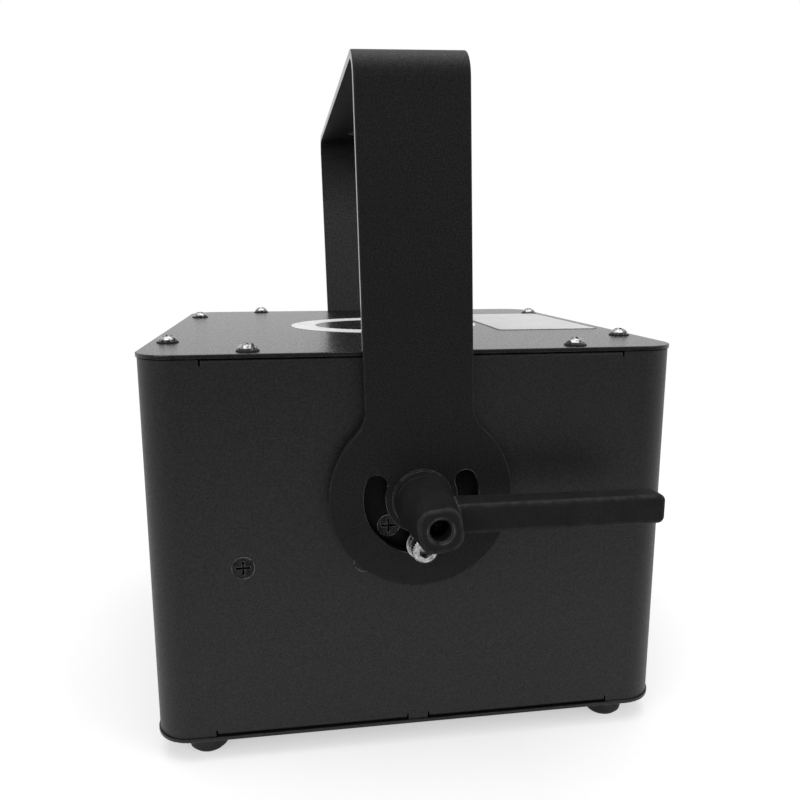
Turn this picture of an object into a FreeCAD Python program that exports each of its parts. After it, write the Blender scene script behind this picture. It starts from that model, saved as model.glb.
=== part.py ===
# Laser show projector: folded sheet housing in a tilting yoke, optics on an inner deck, rear service panel.
# Frame in mm: origin on the floor under the housing, +Z up, light leaves towards -Y, yoke pivots along X.
import math
import os

import FreeCAD
import Part
import Sketcher

Vector = FreeCAD.Vector
doc = FreeCAD.newDocument("LaserShowProjector")

# Driving sizes, in mm and degrees
sizes = {
    # Housing and covers
    "housing_width": 200, "housing_length": 200, "wall_height": 144.5, "sheet": 1.5,
    "corner_radius": 13, "layout_width": 200, "layout_length": 200, "layout_height": 144.5,
    "bend_radius": 1.7, "flange_width": 13, "relief_width": 0.7, "relief_depth": 2.6, "relief_inset": 23,
    "tab_half_gap": 4.5, "cover_overhang": 0.5, "lid_thickness": 1.5, "base_thickness": 1.5,
    "cover_screw_inset": 7, "cover_screw_margin": 16, "flange_hole_radius": 1.95,
    "cover_hole_radius": 2.3, "edge_round": 0.4, "vent_length": 44, "vent_width": 3, "vent_pitch": 8,
    "vent_x": 50, "vent_y": 50,
    # Feet
    "foot_height": 8.5, "foot_top_radius": 8.5, "foot_tip_radius": 7.4, "foot_flat_radius": 6,
    "foot_collar": 2, "foot_inset_x": 12, "foot_inset_y": 18.4, "foot_hole_depth": 5,
    # Yoke and its pivot
    "pivot_rise": 92.4, "yoke_thickness": 3, "yoke_width": 39.5, "yoke_reach": 155.4,
    "yoke_disc_radius": 34, "yoke_neck_radius": 12, "yoke_bend_radius": 10.5, "yoke_lean": 1.5,
    "slot_radius": 17.4, "slot_width": 8, "slot_half_angle": 109, "pivot_hole_radius": 4.4,
    "clamp_hole_radius": 6.5, "clamp_hole_offset": 68, "yoke_edge": 0.5, "spacer_thickness": 2,
    "spacer_radius": 12, "slide_gap": 0.05, "plate_side": 40, "plate_thickness": 4, "boss_radius": 9,
    "boss_length": 9, "plate_screw_offset": 11.7, "running_gap": 0.05, "thread_gap": 0.05,
    "wall_hole_radius": 4.5,
    # Clamp levers
    "lever_washer_radius": 11.2, "lever_washer_thickness": 1.5, "hub_radius": 10.6, "hub_collar": 6,
    "hub_height": 33.4, "hub_face": 14.7, "hub_face_round": 5, "hub_bore_radius": 3.7,
    "hub_shoulder": 15, "hub_edge": 1, "hub_bore_bevel": 0.7, "hub_twist": 9, "hub_shoulder_thickness": 3,
    "lever_reach": 82, "lever_depth": 10.5, "lever_face": 23.5, "lever_root_thickness": 11,
    "lever_tip_thickness": 9, "lever_root": 4,
    "lever_edge": 1.2, "lever_tip_round": 2.4, "stud_radius": 4, "spline_radius": 6.5,
    "spline_tooth": 0.7, "spline_tooth_width": 1, "spline_length": 3, "spline_clear": 0.15,
    "spline_count": 16, "neck_radius": 5.4, "neck_top": 10, "post_radius": 2.3, "post_top": 27,
    "spring_wire": 0.4, "spring_radius": 2.95, "spring_turns": 5,
    # Fasteners
    "m3_radius": 1.45, "m3_head_radius": 2.75, "m3_head_height": 1.9, "m3_length": 6,
    "m3_sunk_radius": 2.8, "m4_radius": 1.9, "m4_head_radius": 3.5, "m4_head_height": 3.1,
    "m4_flange_radius": 4.2, "m4_flange": 0.45, "m4_length": 7, "sunk_radius": 4.2, "sunk_height": 2.3,
    "sunk_shank_radius": 1.9, "sunk_length": 6.5, "sunk_margin": 0.08, "cross_ratio": 0.62,
    "cross_width": 0.9, "cross_depth": 1.3, "hole_clear": 0.25, "m5_radius": 2.5, "m5_head_radius": 4.7,
    "m5_head_height": 6.5, "m5_length": 12, "knurl_radius": 0.28, "knurl_count": 30,
    "flat_washer_radius": 5.8, "flat_washer": 1,
    "lock_washer_radius": 4.8, "lock_washer": 0.9, "lock_teeth": 12, "lock_tooth": 0.8,
    "wall_screw_drop": 4.8, "wall_screw_front": 65.2, "wall_screw_middle": 20.5,
    # Exit window
    "window_width": 92, "window_height": 40, "window_rise": 98, "window_round": 4, "bezel_border": 14,
    "bezel_thickness": 4, "bezel_lip": 1, "bezel_round": 7, "bezel_edge": 1, "glass_lap": 4,
    "glass_thickness": 2, "glass_gap": 0.2, "bezel_screw_inset": 6.5,
    # Rear panel and its fittings
    "panel_margin": 9.25, "panel_thickness": 2, "panel_lap_x": 6.5, "panel_lap_z": 7,
    "panel_screw_side": 3, "panel_screw_end": 13, "panel_round": 4, "fan_x": 42.3, "fan_z": 17.5,
    "fan_side": 60, "fan_depth": 15, "fan_bore_radius": 28.5, "fan_screw_offset": 25,
    "fan_hub_radius": 11.5, "fan_hub_wall": 1.3, "fan_blade": 1.2, "fan_blade_reach": 27.4,
    "fan_blades": 7, "fan_plate": 2.5, "fan_shaft_radius": 1.5, "fan_post_radius": 4, "fan_strut": 4,
    "fan_struts": 3, "guard_wire": 0.8, "guard_rise": 3.2, "guard_ring": 9, "inlet_x": 50,
    "fitting_row": -33.5, "inlet_width": 50, "inlet_height": 28, "inlet_flange": 2.5,
    "inlet_body_width": 31, "inlet_body_height": 24, "inlet_body_depth": 22, "inlet_open_width": 25,
    "inlet_open_height": 17, "inlet_open_depth": 17, "inlet_screw": 20, "blade_width": 4,
    "blade_thickness": 2, "blade_length": 14, "rocker_x": 8, "rocker_width": 15, "rocker_height": 21,
    "rocker_flange": 1.6, "rocker_wall": 1.6, "rocker_body_depth": 17, "rocker_lap": 1.5,
    "rocker_tilt": 9, "rocker_pin_radius": 1.5, "rocker_pin_set": 3, "rocker_rise": 2.6,
    "rocker_clear": 0.6, "dmx_in_x": -20, "dmx_out_x": -54, "dmx_width": 26, "dmx_height": 31,
    "dmx_flange": 2, "dmx_body_radius": 11.6, "dmx_depth": 22, "dmx_open_radius": 9.4,
    "dmx_open_depth": 13, "dmx_pin_radius": 1.15, "dmx_pin_circle": 4.3, "dmx_pin_length": 10,
    "dmx_screw_x": 9.5, "dmx_screw_z": 12, "dmx_ring": 1.2, "signal_x": -42.5, "signal_z": -4,
    "signal_width": 53, "signal_height": 12.5, "signal_flange": 1.2, "signal_shell_width": 39,
    "signal_shell_height": 8.4, "signal_shell_reach": 4.6, "signal_shell_wall": 0.6,
    "signal_block_depth": 9, "signal_post": 23.5, "signal_post_radius": 2.2, "signal_post_reach": 4,
    "signal_hole_pitch": 2.75, "signal_hole_radius": 0.6, "interlock_x": -2, "interlock_radius": 8,
    "interlock_flange": 2, "interlock_body_radius": 6.2, "interlock_open_radius": 4.8,
    "interlock_depth": 15, "interlock_open_depth": 8, "interlock_pin_radius": 0.8,
    "interlock_pin_circle": 2.4, "interlock_pin_length": 5, "display_x": -24, "display_z": 40,
    "display_width": 54, "display_height": 20, "display_lens": 2.4, "display_round": 1.5,
    "display_board_width": 60, "display_board_height": 42, "display_board_drop": 10,
    "display_board_set": 9, "board_thickness": 1.6, "button_z": 20, "button_first_x": -47,
    "button_pitch": 15, "button_radius": 4, "button_rise": 2.2, "button_flange_radius": 5,
    "button_flange": 1, "button_travel": 1, "button_gap": 0.3, "switch_side": 6, "switch_gap": 0.1,
    "key_x": -67, "key_z": 36, "key_bezel_radius": 10.5, "key_bezel": 3, "key_body_radius": 9,
    "key_body_depth": 24, "key_barrel_radius": 6.4, "key_barrel_depth": 18, "key_rise": 0.8,
    "key_slot_width": 1.6, "key_slot_length": 8.4, "key_slot_depth": 9,
    # Optics
    "deck_drop": 72, "deck_thickness": 4, "deck_front": 86, "deck_back": 12, "deck_side": 3,
    "deck_flange": 14, "laser_width": 21, "laser_length": 50, "laser_height": 30,
    "laser_first_x": -71.4, "laser_pitch": 22.3, "laser_front": 42, "laser_foot": 3, "beam_height": 16,
    "lens_radius": 4, "lens_length": 5, "lens_gap": 0.1, "beam_line": 58, "mount_base": 14,
    "mount_height": 26, "mount_thickness": 5, "mirror_width": 12, "mirror_height": 14,
    "mirror_thickness": 1.1, "scan_rise": 12, "block_wall": 6, "block_set": 10, "block_length": 24,
    "galvo_radius": 7, "galvo_length": 34, "galvo_gap": 0.05, "galvo_cap": 4, "galvo_cap_radius": 6,
    "galvo_shaft_radius": 1.5, "galvo_shaft_bore": 12, "galvo_clamp_radius": 2.6,
    "scan_mirror_long": 14, "scan_mirror_wide": 8, "scan_mirror_thick": 0.8, "scan_clamp_length": 4,
    "sink_width": 72, "sink_base": 4, "sink_height": 24, "sink_fin": 2, "sink_pitch": 7,
    "sink_length": 50,
    # Electronics
    "supply_width": 92, "supply_length": 78, "supply_height": 38, "supply_x": 38, "supply_y": -40,
    "supply_wall": 1.2, "terminal_depth": 12, "terminal_height": 14, "driver_width": 62,
    "driver_length": 74, "driver_x": -54, "driver_y": -40, "driver_post": 8, "driver_post_inset": 4,
    "post_flat": 2.6, "scan_board_width": 42, "scan_board_length": 70, "scan_board_x": 68,
    "scan_board_y": -42, "scan_board_post": 6, "main_width": 80, "main_height": 104, "main_x": -43,
    "main_z": 0, "main_set": 33, "main_post_x": 35, "main_post_low": -16, "main_post_high": 5.6,
    "chip_height": 3, "part_height": 12,
}

sheet = doc.addObject("Spreadsheet::Sheet", "Sizes")
for row, (name, number) in enumerate(sizes.items(), start=1):
    sheet.set(f"A{row}", name)
    sheet.set(f"B{row}", str(number))
    sheet.setAlias(f"B{row}", name)
doc.recompute()


# A size that carries its number and its spreadsheet formula
class Dim:
    def __init__(self, value, text):
        self.value = float(value)
        self.text = text

    def __add__(self, other):
        return Dim(self.value + value_of(other), f"({self.text} + {text_of(other)})")

    def __sub__(self, other):
        return Dim(self.value - value_of(other), f"({self.text} - {text_of(other)})")

    def __mul__(self, other):
        return Dim(self.value * value_of(other), f"({self.text} * {text_of(other)})")

    def __truediv__(self, other):
        return Dim(self.value / value_of(other), f"({self.text} / {text_of(other)})")

    def __neg__(self):
        return Dim(-self.value, f"(0 - {self.text})")


def value_of(size):
    return size.value if isinstance(size, Dim) else float(size)


def text_of(size):
    return size.text if isinstance(size, Dim) else f"({float(size)})"


# Places and spans that keep their share of the housing when it grows or shrinks
shares = {
    ("housing_width", "layout_width"): {
        "clamp_hole_offset", "vent_x", "vent_length", "fan_x", "inlet_x", "rocker_x", "dmx_in_x", "dmx_out_x",
        "signal_x", "interlock_x", "display_x", "display_width", "display_board_width", "button_first_x",
        "button_pitch", "key_x", "laser_width", "laser_first_x", "laser_pitch", "sink_width", "sink_pitch",
        "supply_width", "supply_x", "driver_width", "driver_x", "scan_board_width", "scan_board_x",
        "main_width", "main_x", "main_post_x"},
    ("housing_length", "layout_length"): {
        "vent_y", "vent_pitch", "wall_screw_front", "wall_screw_middle", "deck_front", "deck_back",
        "laser_length", "laser_front", "beam_line", "sink_length", "supply_length", "supply_y",
        "driver_length", "driver_y", "scan_board_length", "scan_board_y"},
    ("wall_height", "layout_height"): {
        "pivot_rise", "window_rise", "deck_drop", "fan_z", "fitting_row", "signal_z", "display_z", "button_z",
        "key_z", "display_board_height", "display_board_drop", "main_height", "main_post_low",
        "main_post_high"},
}


class Sheet:
    def __getattr__(self, name):
        size = Dim(sheet.get(name), f"Sizes.{name}")
        for (now, drawn), names in shares.items():
            if name in names:
                return size * getattr(self, now) / getattr(self, drawn)
        return size


d = Sheet()
nothing = Dim(0, "0")
diagonal = Dim(math.sqrt(0.5), "sqrt(0.5)")
axes = {
    "Z": FreeCAD.Rotation(), "-Z": FreeCAD.Rotation(Vector(1, 0, 0), 180),
    "X": FreeCAD.Rotation(Vector(0, 1, 0), 90), "-X": FreeCAD.Rotation(Vector(0, 1, 0), -90),
    "Y": FreeCAD.Rotation(Vector(1, 0, 0), -90), "-Y": FreeCAD.Rotation(Vector(1, 0, 0), 90),
}


# Binding, placing and solid helpers
def bind(item, path, size):
    item.setExpression(path, text_of(size))


def place(item, x=0, y=0, z=0, axis="Z"):
    spot = (x, y, z)
    item.Placement = FreeCAD.Placement(Vector(*[value_of(size) for size in spot]), axes[axis])
    for letter, size in zip("xyz", spot):
        if isinstance(size, Dim):
            bind(item, f"Placement.Base.{letter}", size)
    return item


def box(x_size, y_size, z_size, x=0, y=0, z=0, name="Block"):
    item = doc.addObject("Part::Box", name)
    bind(item, "Length", x_size)
    bind(item, "Width", y_size)
    bind(item, "Height", z_size)
    return place(item, nothing + x - x_size / 2, nothing + y - y_size / 2, z)


def rod(radius, length, x=0, y=0, z=0, axis="Z", name="Rod"):
    item = doc.addObject("Part::Cylinder", name)
    bind(item, "Radius", radius)
    bind(item, "Height", length)
    return place(item, x, y, z, axis)


def cone(low_radius, high_radius, length, x=0, y=0, z=0, axis="Z", name="Cone"):
    item = doc.addObject("Part::Cone", name)
    bind(item, "Radius1", low_radius)
    bind(item, "Radius2", high_radius)
    bind(item, "Height", length)
    return place(item, x, y, z, axis)


def join(pieces, name="Join"):
    item = doc.addObject("Part::MultiFuse", name)
    item.Shapes = pieces
    item.Refine = True
    return item


def group(pieces, name="Group"):
    item = doc.addObject("Part::Compound", name)
    item.Links = pieces
    return item


def cut(base, tools, name="Cut"):
    item = doc.addObject("Part::Cut", name)
    item.Base = base
    item.Tool = tools[0] if len(tools) == 1 else join(tools)
    item.Refine = True
    return item


def copies(source, spots, name="Copies"):
    links = []
    for spot in spots:
        link = doc.addObject("App::Link", name + "Link")
        link.LinkedObject = source
        link.LinkTransform = False
        links.append(place(link, *spot))
    return group(links, name)


# A sketch whose points are pinned by sheet sizes
class Outline:
    def __init__(self, body, plane, offset=None):
        self.sketch = body.newObject("Sketcher::SketchObject", "Outline")
        supports = {feature.Role: feature for feature in body.Origin.OriginFeatures}
        self.sketch.AttachmentSupport = [(supports[plane + "_Plane"], "")]
        self.sketch.MapMode = "FlatFace"
        if offset is not None:
            bind(self.sketch, "AttachmentOffset.Base.z", offset)

    def fix(self, kind, references, size):
        index = self.sketch.addConstraint(Sketcher.Constraint(kind, *references, value_of(size)))
        if isinstance(size, Dim):
            self.sketch.renameConstraint(index, f"size{index}")
            bind(self.sketch, f"Constraints.size{index}", size)

    def pin(self, curve, end, u, v):
        for kind, axis, size in (("DistanceX", -2, u), ("DistanceY", -1, v)):
            if isinstance(size, Dim):
                self.fix(kind, (-1, 1, curve, end), size)
            elif size == 0:
                self.sketch.addConstraint(Sketcher.Constraint("PointOnObject", curve, end, axis))

    def circle(self, u, v, radius):
        middle = Vector(value_of(u), value_of(v), 0)
        curve = self.sketch.addGeometry(Part.Circle(middle, Vector(0, 0, 1), value_of(radius)), False)
        self.pin(curve, 3, u, v)
        self.fix("Radius", (curve,), radius)
        return self

    # Points joined by lines, or by arcs given as {start index: (radius, centre u, centre v, anticlockwise)}
    def path(self, points, arcs=None):
        arcs = arcs or {}
        spots = [Vector(value_of(u), value_of(v), 0) for u, v in points]
        runs = []
        for index, start in enumerate(spots):
            end = spots[(index + 1) % len(spots)]
            if index in arcs:
                radius, u, v, forward = arcs[index]
                middle = Vector(value_of(u), value_of(v), 0)
                first, last = (start, end) if forward else (end, start)
                angles = [(Vector(1, 0, 0).getAngle(spot - middle) * (1 if spot.y >= middle.y else -1))
                          for spot in (first, last)]
                ring = Part.Circle(middle, Vector(0, 0, 1), value_of(radius))
                curve = self.sketch.addGeometry(Part.ArcOfCircle(ring, *angles), False)
                self.fix("Radius", (curve,), radius)
                runs.append((curve, 1, 2) if forward else (curve, 2, 1))
            else:
                runs.append((self.sketch.addGeometry(Part.LineSegment(start, end), False), 1, 2))
        for index, (curve, head, tail) in enumerate(runs):
            following = runs[(index + 1) % len(runs)]
            joint = Sketcher.Constraint("Coincident", curve, tail, following[0], following[1])
            self.sketch.addConstraint(joint)
            self.pin(curve, head, *points[index])
        return self

    def rect(self, width, height, u=nothing, v=nothing, radius=None):
        right, left = u + width / 2, u - width / 2
        top, bottom = v + height / 2, v - height / 2
        if radius is None:
            return self.path([(right, bottom), (right, top), (left, top), (left, bottom)])
        east, west, north, south = right - radius, left + radius, top - radius, bottom + radius
        points = [(right, south), (right, north), (east, top), (west, top),
                  (left, north), (left, south), (west, bottom), (east, bottom)]
        arcs = {1: (radius, east, north, True), 3: (radius, west, north, True),
                5: (radius, west, south, True), 7: (radius, east, south, True)}
        return self.path(points, arcs)


# A body built up feature by feature
class Piece:
    def __init__(self, name):
        self.body = doc.addObject("PartDesign::Body", name)
        self.lines = {feature.Role: feature for feature in self.body.Origin.OriginFeatures}

    def outline(self, plane, offset=None):
        return Outline(self.body, plane, offset)

    def feature(self, kind, outline, reverse=False, both=False):
        item = self.body.newObject("PartDesign::" + kind, kind)
        item.Profile = outline.sketch
        item.Reversed = reverse
        item.Midplane = both
        return item

    def pad(self, outline, length, reverse=False, both=False):
        item = self.feature("Pad", outline, reverse, both)
        bind(item, "Length", length)
        return item

    def pocket(self, outline, depth=None, reverse=False, both=False):
        item = self.feature("Pocket", outline, reverse, both)
        if depth is None:
            item.Type = "ThroughAll"
        else:
            bind(item, "Length", depth)
        return item

    def turn(self, outline):
        item = self.feature("Revolution", outline)
        item.ReferenceAxis = (outline.sketch, ["V_Axis"])
        item.Angle = 360
        return item

    def loft(self, first, last):
        item = self.body.newObject("PartDesign::AdditiveLoft", "Loft")
        item.Profile = first.sketch
        item.Sections = [last.sketch]
        item.Ruled = True
        return item

    def ring(self, feature, count, axis="Z"):
        item = self.body.newObject("PartDesign::PolarPattern", "Ring")
        item.Originals = [feature]
        item.Axis = (self.lines[axis + "_Axis"], [""])
        item.Angle = 360
        bind(item, "Occurrences", count)
        self.body.Tip = item
        return item

    def row(self, feature, count, pitch, axis="Y"):
        item = self.body.newObject("PartDesign::LinearPattern", "Row")
        item.Originals = [feature]
        item.Direction = (self.lines[axis + "_Axis"], [""])
        bind(item, "Length", pitch * (count - 1))
        item.Occurrences = count
        self.body.Tip = item
        return item

    def mirror(self, features, plane):
        item = self.body.newObject("PartDesign::Mirrored", "Mirror")
        item.Originals = features
        item.MirrorPlane = (self.lines[plane + "_Plane"], [""])
        self.body.Tip = item
        return item

    def dress(self, kind, size, wanted):
        doc.recompute()
        shape = self.body.Tip.Shape
        names = [f"Edge{index}" for index, edge in enumerate(shape.Edges, start=1) if wanted(edge)]
        base = self.body.Tip
        item = self.body.newObject("PartDesign::" + kind, kind)
        item.Base = (base, names)
        bind(item, "Radius" if kind == "Fillet" else "Size", size)
        return item


def near(number, size):
    return abs(number - value_of(size)) < 0.02


def level(edge, size):
    return near(edge.BoundBox.ZMin, size) and near(edge.BoundBox.ZMax, size)


def sine(size):
    return Dim(math.sin(math.radians(size.value)), f"sin({size.text} * 1 deg)")


def cosine(size):
    return Dim(math.cos(math.radians(size.value)), f"cos({size.text} * 1 deg)")


# Heights and faces that several pieces share
shell_bottom = d.foot_height + d.base_thickness
shell_top = shell_bottom + d.wall_height
half_width = d.housing_width / 2
half_length = d.housing_length / 2
pivot_z = shell_bottom + d.pivot_rise
window_z = shell_bottom + d.window_rise
panel_rise = d.wall_height / 2
panel_z = shell_bottom + panel_rise
panel_width = d.housing_width - d.corner_radius * 2
panel_height = d.wall_height - d.panel_margin * 2
panel_face = half_length - d.sheet
panel_back = panel_face - d.panel_thickness
yoke_inner = half_width + d.spacer_thickness + d.slide_gap
yoke_outer = yoke_inner + d.yoke_thickness
washer_foot = yoke_outer + d.slide_gap
lever_foot = washer_foot + d.lever_washer_thickness
deck_top = shell_bottom + d.deck_drop + d.deck_thickness
beam_z = deck_top + d.beam_height
sides = (("right", 1, "X"), ("left", -1, "-X"))


# Fasteners
def cross(piece, top, reach):
    arm, half = reach * d.cross_ratio, d.cross_width / 2
    points = [(half, half), (half, arm), (-half, arm), (-half, half), (-arm, half), (-arm, -half),
              (-half, -half), (-half, -arm), (half, -arm), (half, -half), (arm, -half), (arm, half)]
    piece.pocket(piece.outline("XY", top).path(points), d.cross_depth)


def domed_screw(name, shank, length, head, height, flange_radius=None, flange=None):
    piece = Piece(name)
    points = [(0, -length), (shank, -length), (shank, nothing)]
    rim = nothing
    if flange is not None:
        points += [(flange_radius, nothing), (flange_radius, flange)]
        rim = flange
    shoulder = rim + (height - rim) * 0.35
    points += [(head, rim), (head, shoulder), (0, height)]
    crown = height - shoulder
    radius = (head * head + crown * crown) / (crown * 2)
    arc = {len(points) - 2: (radius, 0, height - radius, True)}
    piece.turn(piece.outline("XZ").path(points, arc))
    cross(piece, height, head)
    return piece.body


def socket_screw(name, shank, length, head, height):
    piece = Piece(name)
    bevel = height * 0.1
    piece.turn(piece.outline("XZ").path([
        (0, -length), (shank, -length), (shank, nothing), (head, nothing), (head, height - bevel),
        (head - bevel, height), (0, height)]))
    groove = piece.outline("XY", height).circle(head, 0, d.knurl_radius)
    piece.ring(piece.pocket(groove, height - bevel * 2), d.knurl_count)
    corner = head * 0.58
    flat, rise = corner * 0.5, corner * math.sqrt(0.75)
    points = [(corner, nothing), (flat, rise), (-flat, rise), (-corner, nothing), (-flat, -rise),
              (flat, -rise)]
    piece.pocket(piece.outline("XY", height).path(points), height * 0.5)
    return piece.body


def sunk_screw(name, shank, length, head, height):
    piece = Piece(name)
    points = [(0, -length), (shank, -length), (shank, -height), (head, nothing), (0, nothing)]
    piece.turn(piece.outline("XZ").path(points))
    cross(piece, nothing, head)
    return piece.body


def sunk_cutter(head, height, shank, length):
    wide, slim = head + d.sunk_margin, shank + d.sunk_margin
    return join([cone(wide, slim, height, axis="-Z"), rod(slim, length, axis="-Z")])


panel_screw = domed_screw("PanelScrew", d.m3_radius, d.m3_length, d.m3_head_radius, d.m3_head_height)
lid_screw = domed_screw("LidScrew", d.m4_radius, d.m4_length, d.m4_head_radius, d.m4_head_height,
                        d.m4_flange_radius, d.m4_flange)
slot_screw = socket_screw("SlotScrew", d.m5_radius, d.m5_length, d.m5_head_radius, d.m5_head_height)
wall_screw = sunk_screw("WallScrew", d.sunk_shank_radius, d.sunk_length, d.sunk_radius, d.sunk_height)
m3_sunk_height = d.m3_sunk_radius - d.m3_radius
bezel_screw = sunk_screw("BezelScrew", d.m3_radius, d.m3_length, d.m3_sunk_radius, m3_sunk_height)
wall_cutter = sunk_cutter(d.sunk_radius, d.sunk_height, d.sunk_shank_radius, d.sunk_length + d.sheet)
bezel_cutter = sunk_cutter(d.m3_sunk_radius, m3_sunk_height, d.m3_radius, d.m3_length + d.sheet)

inset_x = half_width - d.cover_screw_inset
inset_y = half_length - d.cover_screw_inset
tab_end = d.relief_inset + d.cover_screw_margin
cover_spots = []
for sign_x in (1, -1):
    for sign_y in (1, -1):
        cover_spots.append((inset_x * sign_x, (half_length - tab_end) * sign_y))
        cover_spots.append(((half_width - tab_end) * sign_x, inset_y * sign_y))
foot_x, foot_y = half_width - d.foot_inset_x, half_length - d.foot_inset_y
foot_spots = [(foot_x * sign_x, foot_y * sign_y) for sign_x in (1, -1) for sign_y in (1, -1)]
wall_spots = []
plate_spots = []
for side, sign, axis in sides:
    for run in (d.wall_screw_front, d.wall_screw_middle):
        wall_spots.append((half_width * sign, -run, shell_bottom + d.deck_drop - d.wall_screw_drop, axis))
    for sign_y in (1, -1):
        for sign_z in (1, -1):
            offset = d.plate_screw_offset
            plate_spots.append((half_width * sign, offset * sign_y, pivot_z + offset * sign_z, axis))
bezel_x = d.window_width / 2 + d.bezel_border - d.bezel_screw_inset
bezel_z = d.window_height / 2 + d.bezel_border - d.bezel_screw_inset
bezel_face = -half_length - d.bezel_thickness
bezel_spots = [(bezel_x * sign_x, bezel_face, window_z + bezel_z * sign_z, "-Y")
               for sign_x in (1, -1) for sign_z in (1, -1)]
base_spots = [(x, y, d.foot_height, "-Z") for x, y in cover_spots]
lid_spots = [(x, y, shell_top + d.lid_thickness) for x, y in cover_spots]
rim_x, rim_z = panel_width / 2 - d.panel_screw_side, panel_height / 2 - d.panel_screw_end
rim_spots = [(rim_x * sign_x, half_length, panel_z + rim_z * step, "Y")
             for sign_x in (1, -1) for step in (1, 0, -1)]
fan_spots = [(d.fan_x + d.fan_screw_offset * sign_x, panel_face + d.guard_wire * 2,
              panel_z + d.fan_z + d.fan_screw_offset * sign_z, "Y")
             for sign_x in (1, -1) for sign_z in (1, -1)]
inlet_spots = [(d.inlet_x + d.inlet_screw * sign, panel_face + d.inlet_flange, panel_z + d.fitting_row, "Y")
               for sign in (1, -1)]
dmx_spots = []
for middle in (d.dmx_in_x, d.dmx_out_x):
    for sign in (1, -1):
        screw_z = panel_z + d.fitting_row + d.dmx_screw_z * sign
        dmx_spots.append((middle + d.dmx_screw_x * sign, panel_face + d.dmx_flange, screw_z, "Y"))


# Housing shell: a tube of sheet with bent flanges, relief notches and openings
def flange_profile(outline, edge, end, sign, low):
    def spot(across, down):
        return across * sign, down if low else end - down

    bend, wall = d.bend_radius, d.sheet
    points = [spot(edge, bend), spot(edge - bend, nothing), spot(edge - d.flange_width, nothing),
              spot(edge - d.flange_width, wall), spot(edge - bend, wall), spot(edge - wall, bend)]
    middle = spot(edge - bend, bend)
    turn = (sign > 0) != low
    outline.path(points, {0: (bend, *middle, turn), 4: (bend - wall, *middle, not turn)})


def relief(outline, start, finish, low):
    rim, bend, deep, wide = d.wall_height, d.bend_radius, d.relief_depth, d.relief_width
    past = rim + d.sheet
    levels = [-d.sheet, deep, bend] if low else [past, rim - deep, rim - bend]
    over, notch, strip = levels
    outline.path([(start - wide, over), (start - wide, notch), (start, notch), (start, strip),
                  (finish, strip), (finish, notch), (finish + wide, notch), (finish + wide, over)])


def make_shell():
    piece = Piece("ShellForm")
    tube = piece.outline("XY")
    tube.rect(d.housing_width, d.housing_length, radius=d.corner_radius)
    tube.rect(d.housing_width - d.sheet * 2, d.housing_length - d.sheet * 2, radius=d.corner_radius - d.sheet)
    piece.pad(tube, d.wall_height)
    for cutting, folding, mirror_plane, edge, across in (("YZ", "XZ", "XZ", half_width, half_length),
                                                         ("XZ", "YZ", "YZ", half_length, half_width)):
        run = across - d.relief_inset
        notches = piece.outline(cutting)
        relief(notches, -run, run, False)
        relief(notches, d.tab_half_gap, run, True)
        relief(notches, -run, -d.tab_half_gap, True)
        piece.pocket(notches, both=True)
        top = piece.outline(folding)
        low = piece.outline(folding, d.tab_half_gap)
        for sign in (1, -1):
            flange_profile(top, edge, d.wall_height, sign, False)
            flange_profile(low, edge, d.wall_height, sign, True)
        piece.pad(top, run * 2, both=True)
        tab = piece.pad(low, run - d.tab_half_gap)
        piece.mirror([tab], mirror_plane)
    flange_holes = piece.outline("XY")
    for x, y in cover_spots:
        flange_holes.circle(x, y, d.flange_hole_radius)
    piece.pocket(flange_holes, both=True)
    window = piece.outline("XZ", half_length)
    window.rect(d.window_width, d.window_height, v=d.window_rise, radius=d.window_round)
    piece.pocket(window, d.sheet * 2)
    rear = piece.outline("XZ", -half_length)
    open_width, open_height = panel_width - d.panel_lap_x * 2, panel_height - d.panel_lap_z * 2
    rear.rect(open_width, open_height, v=panel_rise, radius=d.panel_round)
    for x, y, z, axis in rim_spots:
        rear.circle(x, z - shell_bottom, d.m3_radius + d.hole_clear)
    piece.pocket(rear, d.sheet * 2, reverse=True)
    pivots = piece.outline("YZ")
    pivots.circle(0, d.pivot_rise, d.wall_hole_radius)
    pivots.circle(0, d.pivot_rise - d.slot_radius, d.m5_radius + d.hole_clear)
    piece.pocket(pivots, both=True)
    place(piece.body, 0, 0, shell_bottom)
    return cut(piece.body, [copies(wall_cutter, wall_spots + plate_spots + base_spots),
                           copies(bezel_cutter, bezel_spots)],
               "housing_shell")


# Lid and base plate
def make_lid():
    piece = Piece("top_lid")
    width, length = d.housing_width + d.cover_overhang * 2, d.housing_length + d.cover_overhang * 2
    rim = piece.outline("XY").rect(width, length, radius=d.corner_radius + d.cover_overhang)
    piece.pad(rim, d.lid_thickness)
    piece.dress("Fillet", d.edge_round, lambda edge: level(edge, d.lid_thickness))
    holes = piece.outline("XY")
    for x, y in cover_spots:
        holes.circle(x, y, d.cover_hole_radius)
    piece.pocket(holes, both=True)
    return place(piece.body, 0, 0, shell_top)


def make_base():
    piece = Piece("BaseForm")
    width, length = d.housing_width + d.cover_overhang * 2, d.housing_length + d.cover_overhang * 2
    rim = piece.outline("XY").rect(width, length, radius=d.corner_radius + d.cover_overhang)
    piece.pad(rim, d.base_thickness)
    piece.dress("Fillet", d.edge_round, lambda edge: level(edge, nothing))
    holes = piece.outline("XY")
    for x, y in foot_spots:
        holes.circle(x, y, d.m3_radius + d.hole_clear)
    piece.pocket(holes, both=True)
    for sign in (1, -1):
        vent = piece.outline("XY")
        first_y = d.vent_y - d.vent_pitch * 3
        vent.rect(d.vent_length, d.vent_width, d.vent_x * sign, first_y, d.vent_width * 0.45)
        piece.row(piece.pocket(vent, both=True), 7, d.vent_pitch)
    place(piece.body, 0, 0, d.foot_height)
    return cut(piece.body, [copies(wall_cutter, base_spots)], "base_plate")


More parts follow.
